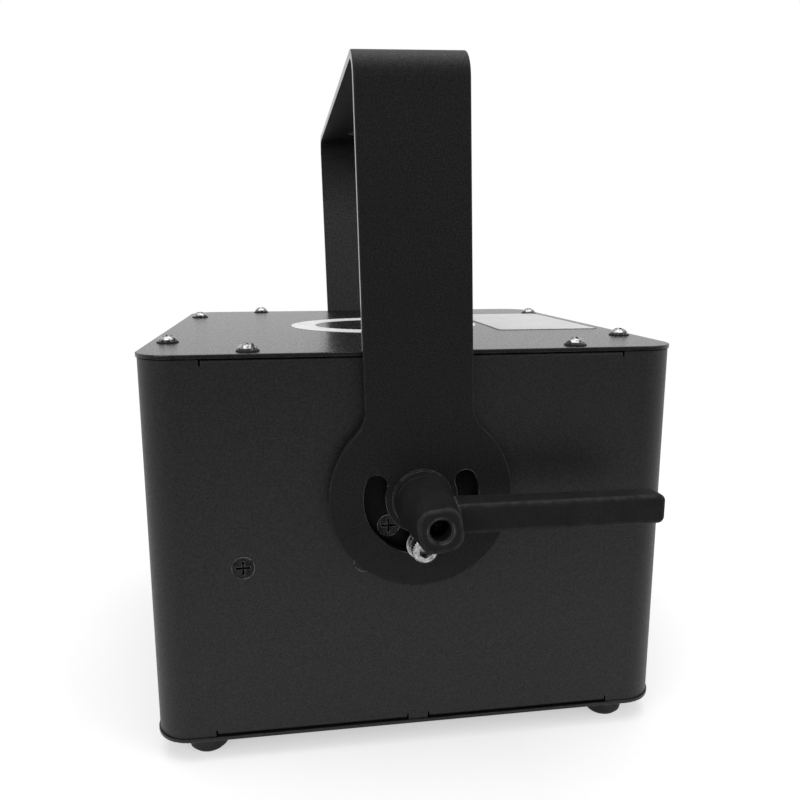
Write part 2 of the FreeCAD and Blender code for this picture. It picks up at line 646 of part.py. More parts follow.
# Feet, screwed on from inside
def make_foot():
    piece = Piece("Foot")
    tall, bore = d.foot_height, d.m3_radius + d.thread_gap
    slope = d.foot_tip_radius - d.foot_flat_radius
    piece.turn(piece.outline("XZ").path([
        (0, -tall), (d.foot_flat_radius, -tall), (d.foot_tip_radius, -tall + slope),
        (d.foot_top_radius, -d.foot_collar), (d.foot_top_radius, nothing), (bore, nothing),
        (bore, -d.foot_hole_depth), (0, -d.foot_hole_depth)]))
    return piece.body


# Yoke: one strap bent into a U, round ends with an arc slot
def make_yoke():
    piece = Piece("yoke_bracket")
    top, inside = d.yoke_reach, d.yoke_reach - d.yoke_thickness
    piece.pad(piece.outline("XZ").path([
        (yoke_outer, nothing), (yoke_outer, top), (-yoke_outer, top), (-yoke_outer, nothing),
        (-yoke_inner, nothing), (-yoke_inner, inside), (yoke_inner, inside), (yoke_inner, nothing)]),
        d.yoke_width, both=True)
    for offset in (yoke_inner, -yoke_outer):
        piece.pad(piece.outline("YZ", offset).circle(0, 0, d.yoke_disc_radius), d.yoke_thickness)

    def bend(side, rise):
        return lambda edge: (level(edge, rise) and near(abs(edge.CenterOfMass.x), side)
                             and edge.BoundBox.YLength > value_of(d.yoke_width) - 1)

    def neck(edge):
        box_of = edge.BoundBox
        return (near(box_of.XLength, d.yoke_thickness) and near(abs(box_of.Center.y), d.yoke_width / 2)
                and 0 < box_of.Center.z < value_of(d.yoke_disc_radius) and box_of.ZLength < 0.01)

    piece.dress("Fillet", d.yoke_bend_radius, bend(yoke_outer, top))
    piece.dress("Fillet", d.yoke_bend_radius - d.yoke_thickness, bend(yoke_inner, inside))
    piece.dress("Fillet", d.yoke_neck_radius, neck)
    piece.dress("Fillet", d.yoke_edge, lambda edge: near(abs(edge.CenterOfMass.x), yoke_outer)
                and edge.BoundBox.XLength < 0.01 and edge.BoundBox.YLength < value_of(d.yoke_width) * 2)
    holes = piece.outline("YZ")
    holes.circle(0, 0, d.pivot_hole_radius)
    slot_y, slot_z = d.slot_radius * sine(d.slot_half_angle), d.slot_radius * cosine(d.slot_half_angle)
    for sign in (1, -1):
        holes.circle(slot_y * sign, -slot_z, d.slot_width / 2)
    piece.pocket(holes, both=True)
    for offset in (yoke_inner + d.yoke_thickness / 2, -yoke_inner - d.yoke_thickness / 2):
        section = piece.outline("XZ")
        section.rect(d.yoke_thickness * 2, d.slot_width, offset, -d.slot_radius)
        groove = piece.feature("Groove", section, both=True)
        groove.ReferenceAxis = (section.sketch, ["H_Axis"])
        bind(groove, "Angle", d.slot_half_angle * 2)
    clamps = piece.outline("XY", inside - d.yoke_thickness)
    for step in (-1, 0, 1):
        clamps.circle(d.clamp_hole_offset * step, 0, d.clamp_hole_radius)
    piece.pocket(clamps, d.yoke_thickness * 3, reverse=True)
    place(piece.body, 0, 0, pivot_z)
    piece.body.Placement = FreeCAD.Placement(piece.body.Placement.Base, FreeCAD.Rotation(Vector(1, 0, 0), 1))
    piece.body.setExpression("Placement.Rotation.Angle", "Sizes.yoke_lean * 1 deg")
    return piece.body


# Pivot hardware: inner plate with a threaded boss, spacer, washers
def make_plate():
    piece = Piece("PivotPlate")
    thick = d.plate_thickness
    piece.pad(piece.outline("XY").rect(d.plate_side, d.plate_side, radius=thick), thick, reverse=True)
    piece.pad(piece.outline("XY", -thick).circle(0, 0, d.boss_radius), d.boss_length, reverse=True)
    piece.pocket(piece.outline("XY").circle(0, 0, d.stud_radius + d.running_gap), both=True)
    return piece.body


def make_ring(name, outer, inner, thickness):
    piece = Piece(name)
    piece.pad(piece.outline("XY").circle(0, 0, outer).circle(0, 0, inner), thickness)
    return piece


def make_pivot_nodes():
    slot_z = pivot_z - d.slot_radius

    def pair(source, foot, height, name="Pair"):
        return copies(source, [(foot * sign, 0, height, axis) for side, sign, axis in sides], name)

    plates = pair(make_plate(), half_width - d.sheet, pivot_z)
    screw_holes = [rod(d.m5_radius + d.thread_gap, d.housing_width, -half_width, 0, slot_z, "X")]
    cut(plates, screw_holes + [copies(wall_cutter, plate_spots)], "pivot_plates")
    spacer = make_ring("Spacer", d.spacer_radius, d.pivot_hole_radius, d.spacer_thickness).body
    pair(spacer, half_width, pivot_z, "pivot_spacers")
    thick = d.lever_washer_thickness
    washer = make_ring("LeverWasher", d.lever_washer_radius, d.pivot_hole_radius, thick).body
    pair(washer, washer_foot, pivot_z, "lever_washers")
    flat = make_ring("FlatWasher", d.flat_washer_radius, d.m5_radius + d.hole_clear, d.flat_washer).body
    flats = pair(flat, washer_foot, slot_z)
    toothed = make_ring("ToothedWasher", d.lock_washer_radius, d.m5_radius + d.hole_clear, d.lock_washer)
    notch = toothed.outline("XY").rect(d.lock_tooth, d.lock_tooth * 2, nothing, d.lock_washer_radius)
    toothed.ring(toothed.pocket(notch, both=True), d.lock_teeth)
    lock_foot = washer_foot + d.flat_washer
    locks = pair(toothed.body, lock_foot, slot_z)
    group([flats, locks], "slot_washers")
    head_foot = lock_foot + d.lock_washer
    pair(slot_screw, head_foot, slot_z, "slot_screws")


# Clamp lever: round collar drawn into a square hub, tapered arm, inner spline and stepped bore
def make_lever():
    piece = Piece("Lever")
    piece.pad(piece.outline("XY").circle(0, 0, d.hub_radius), d.hub_collar)
    low = piece.outline("XY", d.hub_collar)
    low.rect(d.hub_radius * 2, d.hub_radius * 2, radius=d.hub_radius * 0.96)
    high = piece.outline("XY", d.hub_height).rect(d.hub_face, d.hub_face, radius=d.hub_face_round)
    turned = FreeCAD.Rotation(Vector(0, 0, 1), d.hub_twist.value)
    high.sketch.AttachmentOffset = FreeCAD.Placement(Vector(0, 0, d.hub_height.value), turned)
    high.sketch.setExpression("AttachmentOffset.Rotation.Angle", "Sizes.hub_twist * 1 deg")
    piece.loft(low, high)
    root = piece.outline("XZ", -d.lever_root)
    root.rect(d.lever_depth, d.lever_root_thickness, v=d.lever_face - d.lever_root_thickness / 2)
    tip = piece.outline("XZ", -d.lever_reach)
    tip.rect(d.lever_depth, d.lever_tip_thickness, v=d.lever_face - d.lever_tip_thickness / 2)
    piece.loft(root, tip)
    piece.dress("Fillet", d.lever_tip_round, lambda edge: near(edge.CenterOfMass.y, d.lever_reach)
                and edge.BoundBox.XLength < 0.01)
    piece.dress("Fillet", d.lever_edge, lambda edge: edge.CenterOfMass.y > value_of(d.hub_radius)
                and edge.BoundBox.ZLength < 8)
    piece.dress("Fillet", d.hub_edge, lambda edge: level(edge, d.hub_height))
    clear = d.spline_clear
    bore = piece.outline("XY").circle(0, 0, d.spline_radius + clear)
    piece.pocket(bore, d.hub_shoulder - d.hub_shoulder_thickness, reverse=True)
    tooth = piece.outline("XY").rect(d.spline_tooth_width + clear * 2, (d.spline_tooth + clear) * 2, nothing,
                                     d.spline_radius)
    piece.ring(piece.pocket(tooth, d.spline_length + clear * 4, reverse=True), d.spline_count)
    piece.pocket(piece.outline("XY").circle(0, 0, d.post_radius + clear * 2), d.hub_shoulder, reverse=True)
    mouth = piece.outline("XY", d.hub_height).circle(0, 0, d.hub_bore_radius)
    piece.pocket(mouth, d.hub_height - d.hub_shoulder)
    piece.dress("Chamfer", d.hub_bore_bevel, lambda edge: level(edge, d.hub_height)
                and near(edge.BoundBox.XLength, d.hub_bore_radius * 2))
    return piece.body


def make_stud():
    piece = Piece("Stud")
    reach = lever_foot - half_width + d.sheet + d.plate_thickness + d.boss_length
    head = d.slide_gap
    piece.turn(piece.outline("XZ").path([
        (0, -reach), (d.stud_radius, -reach), (d.stud_radius, head), (d.spline_radius, head),
        (d.spline_radius, d.spline_length), (d.neck_radius, d.spline_length), (d.neck_radius, d.neck_top),
        (d.post_radius, d.neck_top), (d.post_radius, d.post_top), (0, d.post_top)]))
    tooth = piece.outline("XY", head).rect(d.spline_tooth_width, d.spline_tooth * 2, nothing, d.spline_radius)
    piece.ring(piece.pad(tooth, d.spline_length - head), d.spline_count)
    hole = piece.outline("XY", d.post_top).circle(0, 0, d.m3_radius + d.thread_gap)
    piece.pocket(hole, d.m3_length + d.hole_clear)
    return piece.body


def make_spring():
    piece = Piece("Spring")
    wire = piece.outline("XZ").circle(d.spring_radius, d.spring_wire, d.spring_wire)
    coil = piece.feature("AdditiveHelix", wire)
    coil.ReferenceAxis = (piece.lines["Z_Axis"], [""])
    coil.Mode = 1
    bind(coil, "Turns", d.spring_turns)
    bind(coil, "Pitch", (d.post_top - d.hub_shoulder - d.spring_wire * 2) / d.spring_turns)
    return piece.body


def make_lever_nodes():
    lever, stud, spring = make_lever(), make_stud(), make_spring()
    for side, sign, axis in sides:
        copies(lever, [(lever_foot * sign, 0, pivot_z, axis)], side + "_lever")
        copies(stud, [(lever_foot * sign, 0, pivot_z, axis)], side + "_lever_stud")
        copies(spring, [((lever_foot + d.hub_shoulder) * sign, 0, pivot_z, axis)], side + "_lever_spring")
        copies(lever_screw, [((lever_foot + d.post_top) * sign, 0, pivot_z, axis)], side + "_lever_screw")


lever_screw_head = d.hub_bore_radius - d.hole_clear * 2
lever_screw = domed_screw("LeverScrew", d.m3_radius, d.m3_length, lever_screw_head, d.m3_head_height)


# Exit window: bezel on the front wall with a pocket for gasket and glass
def make_window():
    piece = Piece("BezelForm")
    width, height = d.window_width + d.bezel_border * 2, d.window_height + d.bezel_border * 2
    piece.pad(piece.outline("XZ").rect(width, height, radius=d.bezel_round), d.bezel_thickness)
    piece.dress("Chamfer", d.bezel_edge, lambda edge: near(edge.BoundBox.YMin, -d.bezel_thickness)
                and edge.BoundBox.YLength < 0.01)
    piece.pocket(piece.outline("XZ").rect(d.window_width, d.window_height, radius=d.window_round), both=True)
    glass_width, glass_height = d.window_width + d.glass_lap * 2, d.window_height + d.glass_lap * 2
    play = d.glass_gap * 2
    seat = piece.outline("XZ").rect(glass_width + play, glass_height + play, radius=d.window_round)
    piece.pocket(seat, d.bezel_thickness - d.bezel_lip, reverse=True)
    place(piece.body, 0, -half_length, window_z)
    cut(piece.body, [copies(bezel_cutter, bezel_spots)], "window_bezel")
    glass = Piece("window_glass")
    glass.pad(glass.outline("XZ").rect(glass_width, glass_height, radius=d.window_round), d.glass_thickness)
    place(glass.body, 0, -half_length, window_z)
    gasket = Piece("window_gasket")
    frame = gasket.outline("XZ").rect(glass_width, glass_height, radius=d.window_round)
    frame.rect(d.window_width, d.window_height, radius=d.window_round)
    gasket.pad(frame, d.bezel_thickness - d.bezel_lip - d.glass_thickness)
    place(gasket.body, 0, -half_length - d.glass_thickness, window_z)
    copies(bezel_screw, bezel_spots, "bezel_screws")


# Rear panel plate with its cut-outs
def make_panel():
    piece = Piece("rear_panel")
    piece.pad(piece.outline("XZ").rect(panel_width, panel_height, radius=d.panel_round), d.panel_thickness)
    holes = piece.outline("XZ")
    for x, y, z, axis in rim_spots:
        holes.circle(x, z - panel_z, d.m3_radius + d.thread_gap)
    for x, y, z, axis in fan_spots + inlet_spots + dmx_spots:
        holes.circle(x, z - panel_z, d.m3_radius + d.hole_clear)
    piece.pocket(holes, both=True)
    holes = piece.outline("XZ")
    holes.circle(d.fan_x, d.fan_z, d.fan_bore_radius)
    gap = d.hole_clear
    row = d.fitting_row
    holes.rect(d.inlet_body_width + gap * 2, d.inlet_body_height + gap * 2, d.inlet_x, row)
    holes.rect(d.rocker_width + gap * 2, d.rocker_height + gap * 2, d.rocker_x, row)
    for x in (d.dmx_in_x, d.dmx_out_x):
        holes.circle(x, row, d.dmx_body_radius + gap)
    holes.rect(d.signal_shell_width + gap * 2, d.signal_shell_height + gap * 2, d.signal_x, d.signal_z)
    for sign in (1, -1):
        holes.circle(d.signal_x + d.signal_post * sign, d.signal_z, d.signal_post_radius + gap)
    holes.circle(d.interlock_x, d.signal_z, d.interlock_body_radius + gap)
    piece.pocket(holes, both=True)
    holes = piece.outline("XZ")
    holes.rect(d.display_width + gap, d.display_height + gap, d.display_x, d.display_z, d.display_round)
    for step in range(4):
        holes.circle(d.button_first_x + d.button_pitch * step, d.button_z, d.button_radius + d.button_gap)
    holes.circle(d.key_x, d.key_z, d.key_body_radius + gap)
    piece.pocket(holes, both=True)
    return place(piece.body, 0, panel_face, panel_z)


# Fan: frame, running wheel and wire guard
def make_fan():
    frame = Piece("FanFrame")
    outer = frame.outline("XY").rect(d.fan_side, d.fan_side, radius=d.fan_strut)
    frame.pad(outer.circle(0, 0, d.fan_bore_radius), d.fan_depth, reverse=True)
    frame.pad(frame.outline("XY").circle(0, 0, d.fan_hub_radius), d.fan_plate, reverse=True)
    span = d.fan_bore_radius - d.fan_hub_radius + d.fan_hub_wall
    strut = frame.outline("XY").rect(d.fan_strut, span, nothing, (d.fan_bore_radius + d.fan_hub_radius) / 2)
    frame.ring(frame.pad(strut, d.fan_plate, reverse=True), d.fan_struts)
    frame.pad(frame.outline("XY").circle(0, 0, d.fan_post_radius), d.fan_depth - d.fan_strut, reverse=True)
    frame.pocket(frame.outline("XY", -d.fan_plate / 2).circle(0, 0, d.fan_shaft_radius + d.running_gap))
    holes = frame.outline("XY")
    for sign_x in (1, -1):
        for sign_y in (1, -1):
            holes.circle(d.fan_screw_offset * sign_x, d.fan_screw_offset * sign_y, d.m3_radius + d.thread_gap)
    frame.pocket(holes, both=True)
    centre = (d.fan_x, panel_back, panel_z + d.fan_z, "Y")
    copies(frame.body, [centre], "fan_frame")
    wheel = Piece("FanWheel")
    rim, floor = -d.fan_plate - d.hole_clear * 2, -d.fan_depth + d.hole_clear * 2
    wall = d.fan_hub_wall
    wheel.turn(wheel.outline("XZ").path([
        (0, floor), (d.fan_hub_radius, floor), (d.fan_hub_radius, rim), (d.fan_hub_radius - wall, rim),
        (d.fan_hub_radius - wall, floor + wall), (d.fan_shaft_radius, floor + wall),
        (d.fan_shaft_radius, -d.fan_plate), (0, -d.fan_plate)]))
    blade, top, half = d.fan_blade, rim - wall, d.fan_hub_radius / 2
    profile = wheel.outline("YZ", d.fan_hub_radius - wall / 2)
    profile.path([(-half, floor + wall), (-half + blade, floor + wall), (half + blade, top), (half, top)])
    wheel.ring(wheel.pad(profile, d.fan_blade_reach - d.fan_hub_radius), d.fan_blades)
    copies(wheel.body, [centre], "fan_rotor")
    parts = []
    wire, rise = d.guard_wire, d.guard_rise
    for step in (1, 2, 3):
        ring = doc.addObject("Part::Torus", "GuardRing")
        bind(ring, "Radius1", d.guard_ring * step)
        bind(ring, "Radius2", wire)
        parts.append(place(ring, 0, 0, rise))
    for sign_x in (1, -1):
        for sign_y in (1, -1):
            foot = (d.fan_screw_offset * sign_x, d.fan_screw_offset * sign_y)
            eye = doc.addObject("Part::Torus", "GuardEye")
            bind(eye, "Radius1", d.m3_radius + d.hole_clear + wire)
            bind(eye, "Radius2", wire)
            parts.append(place(eye, *foot, wire))
            inner = d.fan_screw_offset - d.m3_head_radius
            parts.append(rod(wire, rise - wire, inner * sign_x, inner * sign_y, wire))
            spoke = rod(wire, inner * 1.4142, 0, 0, rise)
            turned = FreeCAD.Rotation(Vector(0, 0, 1), Vector(sign_x, sign_y, 0))
            spoke.Placement = FreeCAD.Placement(spoke.Placement.Base, turned)
            parts.append(spoke)
            knuckle = doc.addObject("Part::Sphere", "GuardBend")
            bind(knuckle, "Radius", wire)
            parts.append(place(knuckle, inner * sign_x, inner * sign_y, rise))
    guard = join(parts)
    place(guard, d.fan_x, panel_face, panel_z + d.fan_z, "Y")
    guard.Label = "fan_guard"


# Sockets on the rear panel
def make_inlet():
    piece = Piece("Inlet")
    piece.pad(piece.outline("XY").rect(d.inlet_width, d.inlet_height, radius=d.bezel_round), d.inlet_flange)
    piece.dress("Fillet", d.edge_round * 2, lambda edge: level(edge, d.inlet_flange))
    body = piece.outline("XY").rect(d.inlet_body_width, d.inlet_body_height, radius=d.panel_round)
    piece.pad(body, d.inlet_body_depth, reverse=True)
    well = piece.outline("XY", d.inlet_flange)
    well.rect(d.inlet_open_width, d.inlet_open_height, radius=d.panel_round)
    piece.pocket(well, d.inlet_open_depth)
    blades = piece.outline("XY", d.inlet_flange - d.inlet_open_depth)
    spread = d.inlet_open_width / 4
    for u, v in ((spread, d.blade_width / 2), (-spread, d.blade_width / 2), (nothing, -d.blade_width / 2)):
        blades.rect(d.blade_thickness, d.blade_width, u, v)
    piece.pad(blades, d.blade_length)
    holes = piece.outline("XY")
    for sign in (1, -1):
        holes.circle(d.inlet_screw * sign, 0, d.m3_radius + d.hole_clear)
    piece.pocket(holes, both=True)
    copies(piece.body, [(d.inlet_x, panel_face, panel_z + d.fitting_row, "Y")], "power_inlet")


def make_rocker():
    frame = Piece("RockerFrame")
    lap = d.rocker_lap * 2
    frame.pad(frame.outline("XY").rect(d.rocker_width + lap, d.rocker_height + lap, radius=d.panel_round / 2),
              d.rocker_flange)
    frame.dress("Fillet", d.edge_round, lambda edge: level(edge, d.rocker_flange))
    frame.pad(frame.outline("XY").rect(d.rocker_width, d.rocker_height), d.rocker_body_depth, reverse=True)
    inner_width, inner_height = d.rocker_width - d.rocker_wall * 2, d.rocker_height - d.rocker_wall * 2
    well = frame.outline("XY", d.rocker_flange).rect(inner_width, inner_height)
    frame.pocket(well, d.rocker_body_depth - d.rocker_wall + d.rocker_flange)
    pins = frame.outline("YZ").circle(0, -d.rocker_pin_set, d.rocker_pin_radius + d.running_gap)
    frame.pocket(pins, both=True)
    centre = (d.rocker_x, panel_face, panel_z + d.fitting_row, "Y")
    copies(frame.body, [centre], "rocker_frame")
    cap = Piece("Rocker")
    half = inner_height / 2 - d.rocker_clear * 2
    face = d.rocker_flange + d.rocker_rise / 2
    side = cap.outline("YZ")
    side.path([(-half, -d.rocker_pin_set), (nothing, -d.rocker_pin_set * 2.6), (half, -d.rocker_pin_set),
               (half, face), (nothing, face - d.rocker_rise * 0.6), (-half, face)])
    cap.pad(side, inner_width - d.rocker_clear * 2, both=True)
    cap.pad(cap.outline("YZ").circle(0, -d.rocker_pin_set, d.rocker_pin_radius), d.rocker_width, both=True)
    tilted = doc.addObject("App::Link", "RockerTilt")
    tilted.LinkedObject = cap.body
    tilted.LinkTransform = False
    tilted.Placement = FreeCAD.Placement(Vector(), FreeCAD.Rotation(Vector(1, 0, 0), d.rocker_tilt.value))
    tilted.setExpression("Placement.Rotation.Angle", "Sizes.rocker_tilt * 1 deg")
    rise = d.rocker_pin_set
    bind(tilted, "Placement.Base.y", -(rise * sine(d.rocker_tilt)))
    bind(tilted, "Placement.Base.z", rise * cosine(d.rocker_tilt) - rise)
    copies(group([tilted]), [centre], "power_rocker")


def make_dmx():
    def body(name):
        piece = Piece(name)
        piece.pad(piece.outline("XY").rect(d.dmx_width, d.dmx_height, radius=d.panel_round), d.dmx_flange)
        piece.dress("Fillet", d.edge_round * 2, lambda edge: level(edge, d.dmx_flange))
        piece.pad(piece.outline("XY").circle(0, 0, d.dmx_body_radius), d.dmx_depth, reverse=True)
        piece.pad(piece.outline("XY").circle(0, 0, d.dmx_open_radius + d.dmx_ring), d.dmx_flange + d.dmx_ring)
        holes = piece.outline("XY")
        for sign in (1, -1):
            holes.circle(d.dmx_screw_x * sign, -d.dmx_screw_z * sign, d.m3_radius + d.hole_clear)
        piece.pocket(holes, both=True)
        return piece

    circle = d.dmx_pin_circle
    spots = ((circle, nothing), (-circle, nothing), (nothing, circle))
    face = d.dmx_flange + d.dmx_ring
    entry = body("DmxIn")
    entry.pocket(entry.outline("XY", face).circle(0, 0, d.dmx_open_radius), d.dmx_open_depth)
    pins = entry.outline("XY", face - d.dmx_open_depth)
    for u, v in spots:
        pins.circle(u, v, d.dmx_pin_radius)
    entry.pad(pins, d.dmx_pin_length)
    outlet = body("DmxOut")
    gap = outlet.outline("XY", face).circle(0, 0, d.dmx_open_radius)
    outlet.pocket(gap.circle(0, 0, d.dmx_open_radius - d.dmx_ring), d.dmx_open_depth)
    holes = outlet.outline("XY", face)
    for u, v in spots:
        holes.circle(u, v, d.dmx_pin_radius + d.hole_clear)
    outlet.pocket(holes, d.dmx_open_depth)
    row = panel_z + d.fitting_row
    group([copies(entry.body, [(d.dmx_in_x, panel_face, row, "Y")], "DmxInSpot"),
           copies(outlet.body, [(d.dmx_out_x, panel_face, row, "Y")], "DmxOutSpot")], "dmx_sockets")


def make_signal():
    piece = Piece("Signal")
    inside = -d.panel_thickness
    plate = piece.outline("XY", inside).rect(d.signal_width, d.signal_height, radius=d.edge_round * 3)
    piece.pad(plate, d.signal_flange, reverse=True)
    block = piece.outline("XY", inside).rect(d.signal_shell_width + d.signal_flange, d.signal_shell_height)
    piece.pad(block, d.signal_block_depth, reverse=True)

    def shell(outline, shrink):
        half, high = d.signal_shell_width / 2 - shrink, d.signal_shell_height / 2 - shrink
        slope = d.signal_shell_wall * 2
        outline.path([(half - slope, -high), (half, high), (-half, high), (-half + slope, -high)])
        return outline

    piece.pad(shell(piece.outline("XY", inside), nothing), d.signal_shell_reach - inside)
    pitch = d.signal_hole_pitch
    for count, row in ((13, 1), (12, -1)):
        hole = piece.outline("XY", d.signal_shell_reach)
        hole.circle(pitch * (1 - count) / 2, pitch / 2 * row, d.signal_hole_radius)
        piece.row(piece.pocket(hole, d.signal_shell_reach), count, pitch, "X")
    posts = piece.outline("XY", inside)
    for sign in (1, -1):
        posts.circle(d.signal_post * sign, 0, d.signal_post_radius)
    piece.pad(posts, d.signal_post_reach - inside)
    bores = piece.outline("XY", d.signal_post_reach)
    for sign in (1, -1):
        bores.circle(d.signal_post * sign, 0, d.signal_post_radius / 2)
    piece.pocket(bores, d.signal_post_reach)
    return copies(piece.body, [(d.signal_x, panel_face, panel_z + d.signal_z, "Y")])


def make_interlock():
    piece = Piece("Interlock")
    piece.pad(piece.outline("XY").circle(0, 0, d.interlock_radius), d.interlock_flange)
    piece.dress("Fillet", d.edge_round * 2, lambda edge: level(edge, d.interlock_flange))
    piece.pad(piece.outline("XY").circle(0, 0, d.interlock_body_radius), d.interlock_depth, reverse=True)
    well = piece.outline("XY", d.interlock_flange).circle(0, 0, d.interlock_open_radius)
    piece.pocket(well, d.interlock_open_depth)
    pins = piece.outline("XY", d.interlock_flange - d.interlock_open_depth)
    circle = d.interlock_pin_circle
    for u, v in ((circle, nothing), (-circle, nothing), (nothing, circle)):
        pins.circle(u, v, d.interlock_pin_radius)
    piece.pad(pins, d.interlock_pin_length)
    return copies(piece.body, [(d.interlock_x, panel_face, panel_z + d.signal_z, "Y")])


# Key switch: fixed lock body and turning barrel
def make_key():
    piece = Piece("KeyBody")
    piece.pad(piece.outline("XY").circle(0, 0, d.key_bezel_radius), d.key_bezel)
    piece.dress("Chamfer", d.edge_round * 2, lambda edge: level(edge, d.key_bezel))
    piece.pad(piece.outline("XY").circle(0, 0, d.key_body_radius), d.key_body_depth, reverse=True)
    bore = piece.outline("XY", d.key_bezel).circle(0, 0, d.key_barrel_radius + d.running_gap)
    piece.pocket(bore, d.key_bezel + d.key_barrel_depth)
    centre = (d.key_x, panel_face, panel_z + d.key_z, "Y")
    copies(piece.body, [centre], "key_switch")
    barrel = Piece("KeyBarrel")
    top = d.key_bezel + d.key_rise
    disc = barrel.outline("XY", top).circle(0, 0, d.key_barrel_radius)
    barrel.pad(disc, top + d.key_barrel_depth - d.slide_gap, reverse=True)
    slot = barrel.outline("XY", top).rect(d.key_slot_width, d.key_slot_length)
    barrel.pocket(slot, d.key_slot_depth)
    copies(barrel.body, [centre], "key_barrel")


# Display lens and board, menu buttons
def make_display():
    lens = Piece("DisplayLens")
    pane = lens.outline("XY").rect(d.display_width, d.display_height, radius=d.display_round)
    lens.pad(pane, d.display_lens, reverse=True)
    lens_face = panel_face + d.hole_clear
    copies(lens.body, [(d.display_x, lens_face, panel_z + d.display_z, "Y")], "display_window")
    board_face = panel_back - d.display_board_set
    board_z = panel_z + d.display_z - d.display_board_drop
    wide, tall = d.display_board_width, d.display_board_height
    thick, low = d.board_thickness, board_z - tall / 2
    board = box(wide, thick, tall, d.display_x, board_face - thick / 2, low)
    lcd_depth = lens_face - d.display_lens - board_face - d.slide_gap
    screen = box(d.display_width, lcd_depth, d.display_height + d.switch_side / 2, d.display_x,
                 board_face + lcd_depth / 2, panel_z + d.display_z - d.display_height / 2 - d.switch_side / 4)
    foot = panel_back - d.button_flange - d.button_travel - d.switch_gap
    deep = foot - board_face
    pieces = [board, screen]
    for step in range(4):
        x = d.button_first_x + d.button_pitch * step
        z = panel_z + d.button_z
        side = d.switch_side
        pieces.append(box(side, deep, side, x, board_face + deep / 2, z - side / 2))
        button = Piece("ButtonForm")
        reach = d.panel_thickness + d.button_rise
        button.pad(button.outline("XY").circle(0, 0, d.button_flange_radius), d.button_flange, reverse=True)
        button.pad(button.outline("XY").circle(0, 0, d.button_radius), reach)
        button.dress("Fillet", d.edge_round * 2, lambda edge: level(edge, reach))
        copies(button.body, [(x, panel_back - d.slide_gap, z, "Y")], f"menu_button_{step + 1}")
    for sign in (1, -1):
        post_x = d.display_x + (wide / 2 - d.post_flat) * sign
        pieces.append(rod(d.post_flat, d.display_board_set, post_x, board_face, low + d.post_flat, "Y"))
    join(pieces, "display_board")


# Optics deck with its laser modules, mirrors and scanner
def make_deck():
    piece = Piece("DeckForm")
    half = half_width - d.sheet - d.slide_gap
    inner = half - d.deck_side
    low = -d.deck_flange
    lip = d.deck_thickness
    piece.pad(piece.outline("XZ", -d.deck_back).path([
        (half, low), (half, lip), (-half, lip), (-half, low),
        (-inner, low), (-inner, nothing), (inner, nothing), (inner, low)]), d.deck_front + d.deck_back)
    piece.dress("Fillet", d.deck_side, lambda edge: level(edge, lip) and near(abs(edge.CenterOfMass.x), half))
    place(piece.body, 0, 0, deck_top - d.deck_thickness)
    notch = [box(d.plate_thickness * 4, d.plate_side + d.sheet * 2, d.deck_thickness * 4, half * sign, 0,
                 pivot_z - d.plate_side / 2 - d.sheet) for sign in (1, -1)]
    return cut(piece.body, [copies(wall_cutter, wall_spots)] + notch, "optics_deck")


def make_lasers():
    lenses = []
    mounts = []
    mirrors = []
    for step, colour in enumerate(("red", "green", "blue")):
        x = d.laser_first_x + d.laser_pitch * step
        y = -d.laser_front + d.laser_length / 2
        body = box(d.laser_width, d.laser_length, d.laser_height, x, y, deck_top)
        nose = rod(d.lens_radius + d.laser_foot, d.laser_foot, x, -d.laser_front, beam_z, "-Y")
        snout = -d.laser_front - d.laser_foot
        bore = rod(d.lens_radius + d.lens_gap, d.lens_length * 2 + d.laser_foot, x, snout, beam_z, "Y")
        slots = [box(d.laser_width, d.sheet, d.laser_foot * 2, x, y + d.laser_length * share,
                     deck_top + d.laser_height - d.laser_foot * 2) for share in (-0.3, -0.1, 0.1, 0.3)]
        cut(join([body, nose]), [bore] + slots, colour + "_laser")
        lenses.append(rod(d.lens_radius, d.lens_length, x, snout + d.sheet, beam_z, "Y"))
        mirror_low = beam_z - d.mirror_height / 2
        for stock, wide, thick, tall, low, front in (
                (mirrors, d.mirror_width, d.mirror_thickness, d.mirror_height, mirror_low, nothing),
                (mounts, d.mount_base, d.mount_thickness, d.mount_height, deck_top, -d.mirror_thickness)):
            item = doc.addObject("Part::Box", "Slanted")
            bind(item, "Length", wide)
            bind(item, "Width", thick)
            bind(item, "Height", tall)
            item.Placement = FreeCAD.Placement(Vector(), FreeCAD.Rotation(Vector(0, 0, 1), -45))
            back = front - thick
            bind(item, "Placement.Base.x", x + (back - wide / 2) * diagonal)
            bind(item, "Placement.Base.y", -d.beam_line + (back + wide / 2) * diagonal)
            bind(item, "Placement.Base.z", low)
            stock.append(item)
    group(lenses, "laser_lenses")
    group(mirrors, "combiner_mirrors")
    holes = [rod(d.lens_radius, d.mount_base * 9, d.laser_first_x - d.mount_base, -d.beam_line, beam_z, "X")]
    for step in range(3):
        x = d.laser_first_x + d.laser_pitch * step
        holes.append(rod(d.lens_radius, d.mount_base, x, -d.beam_line - d.mount_base, beam_z, "Y"))
    cut(group(mounts), holes, "mirror_mounts")


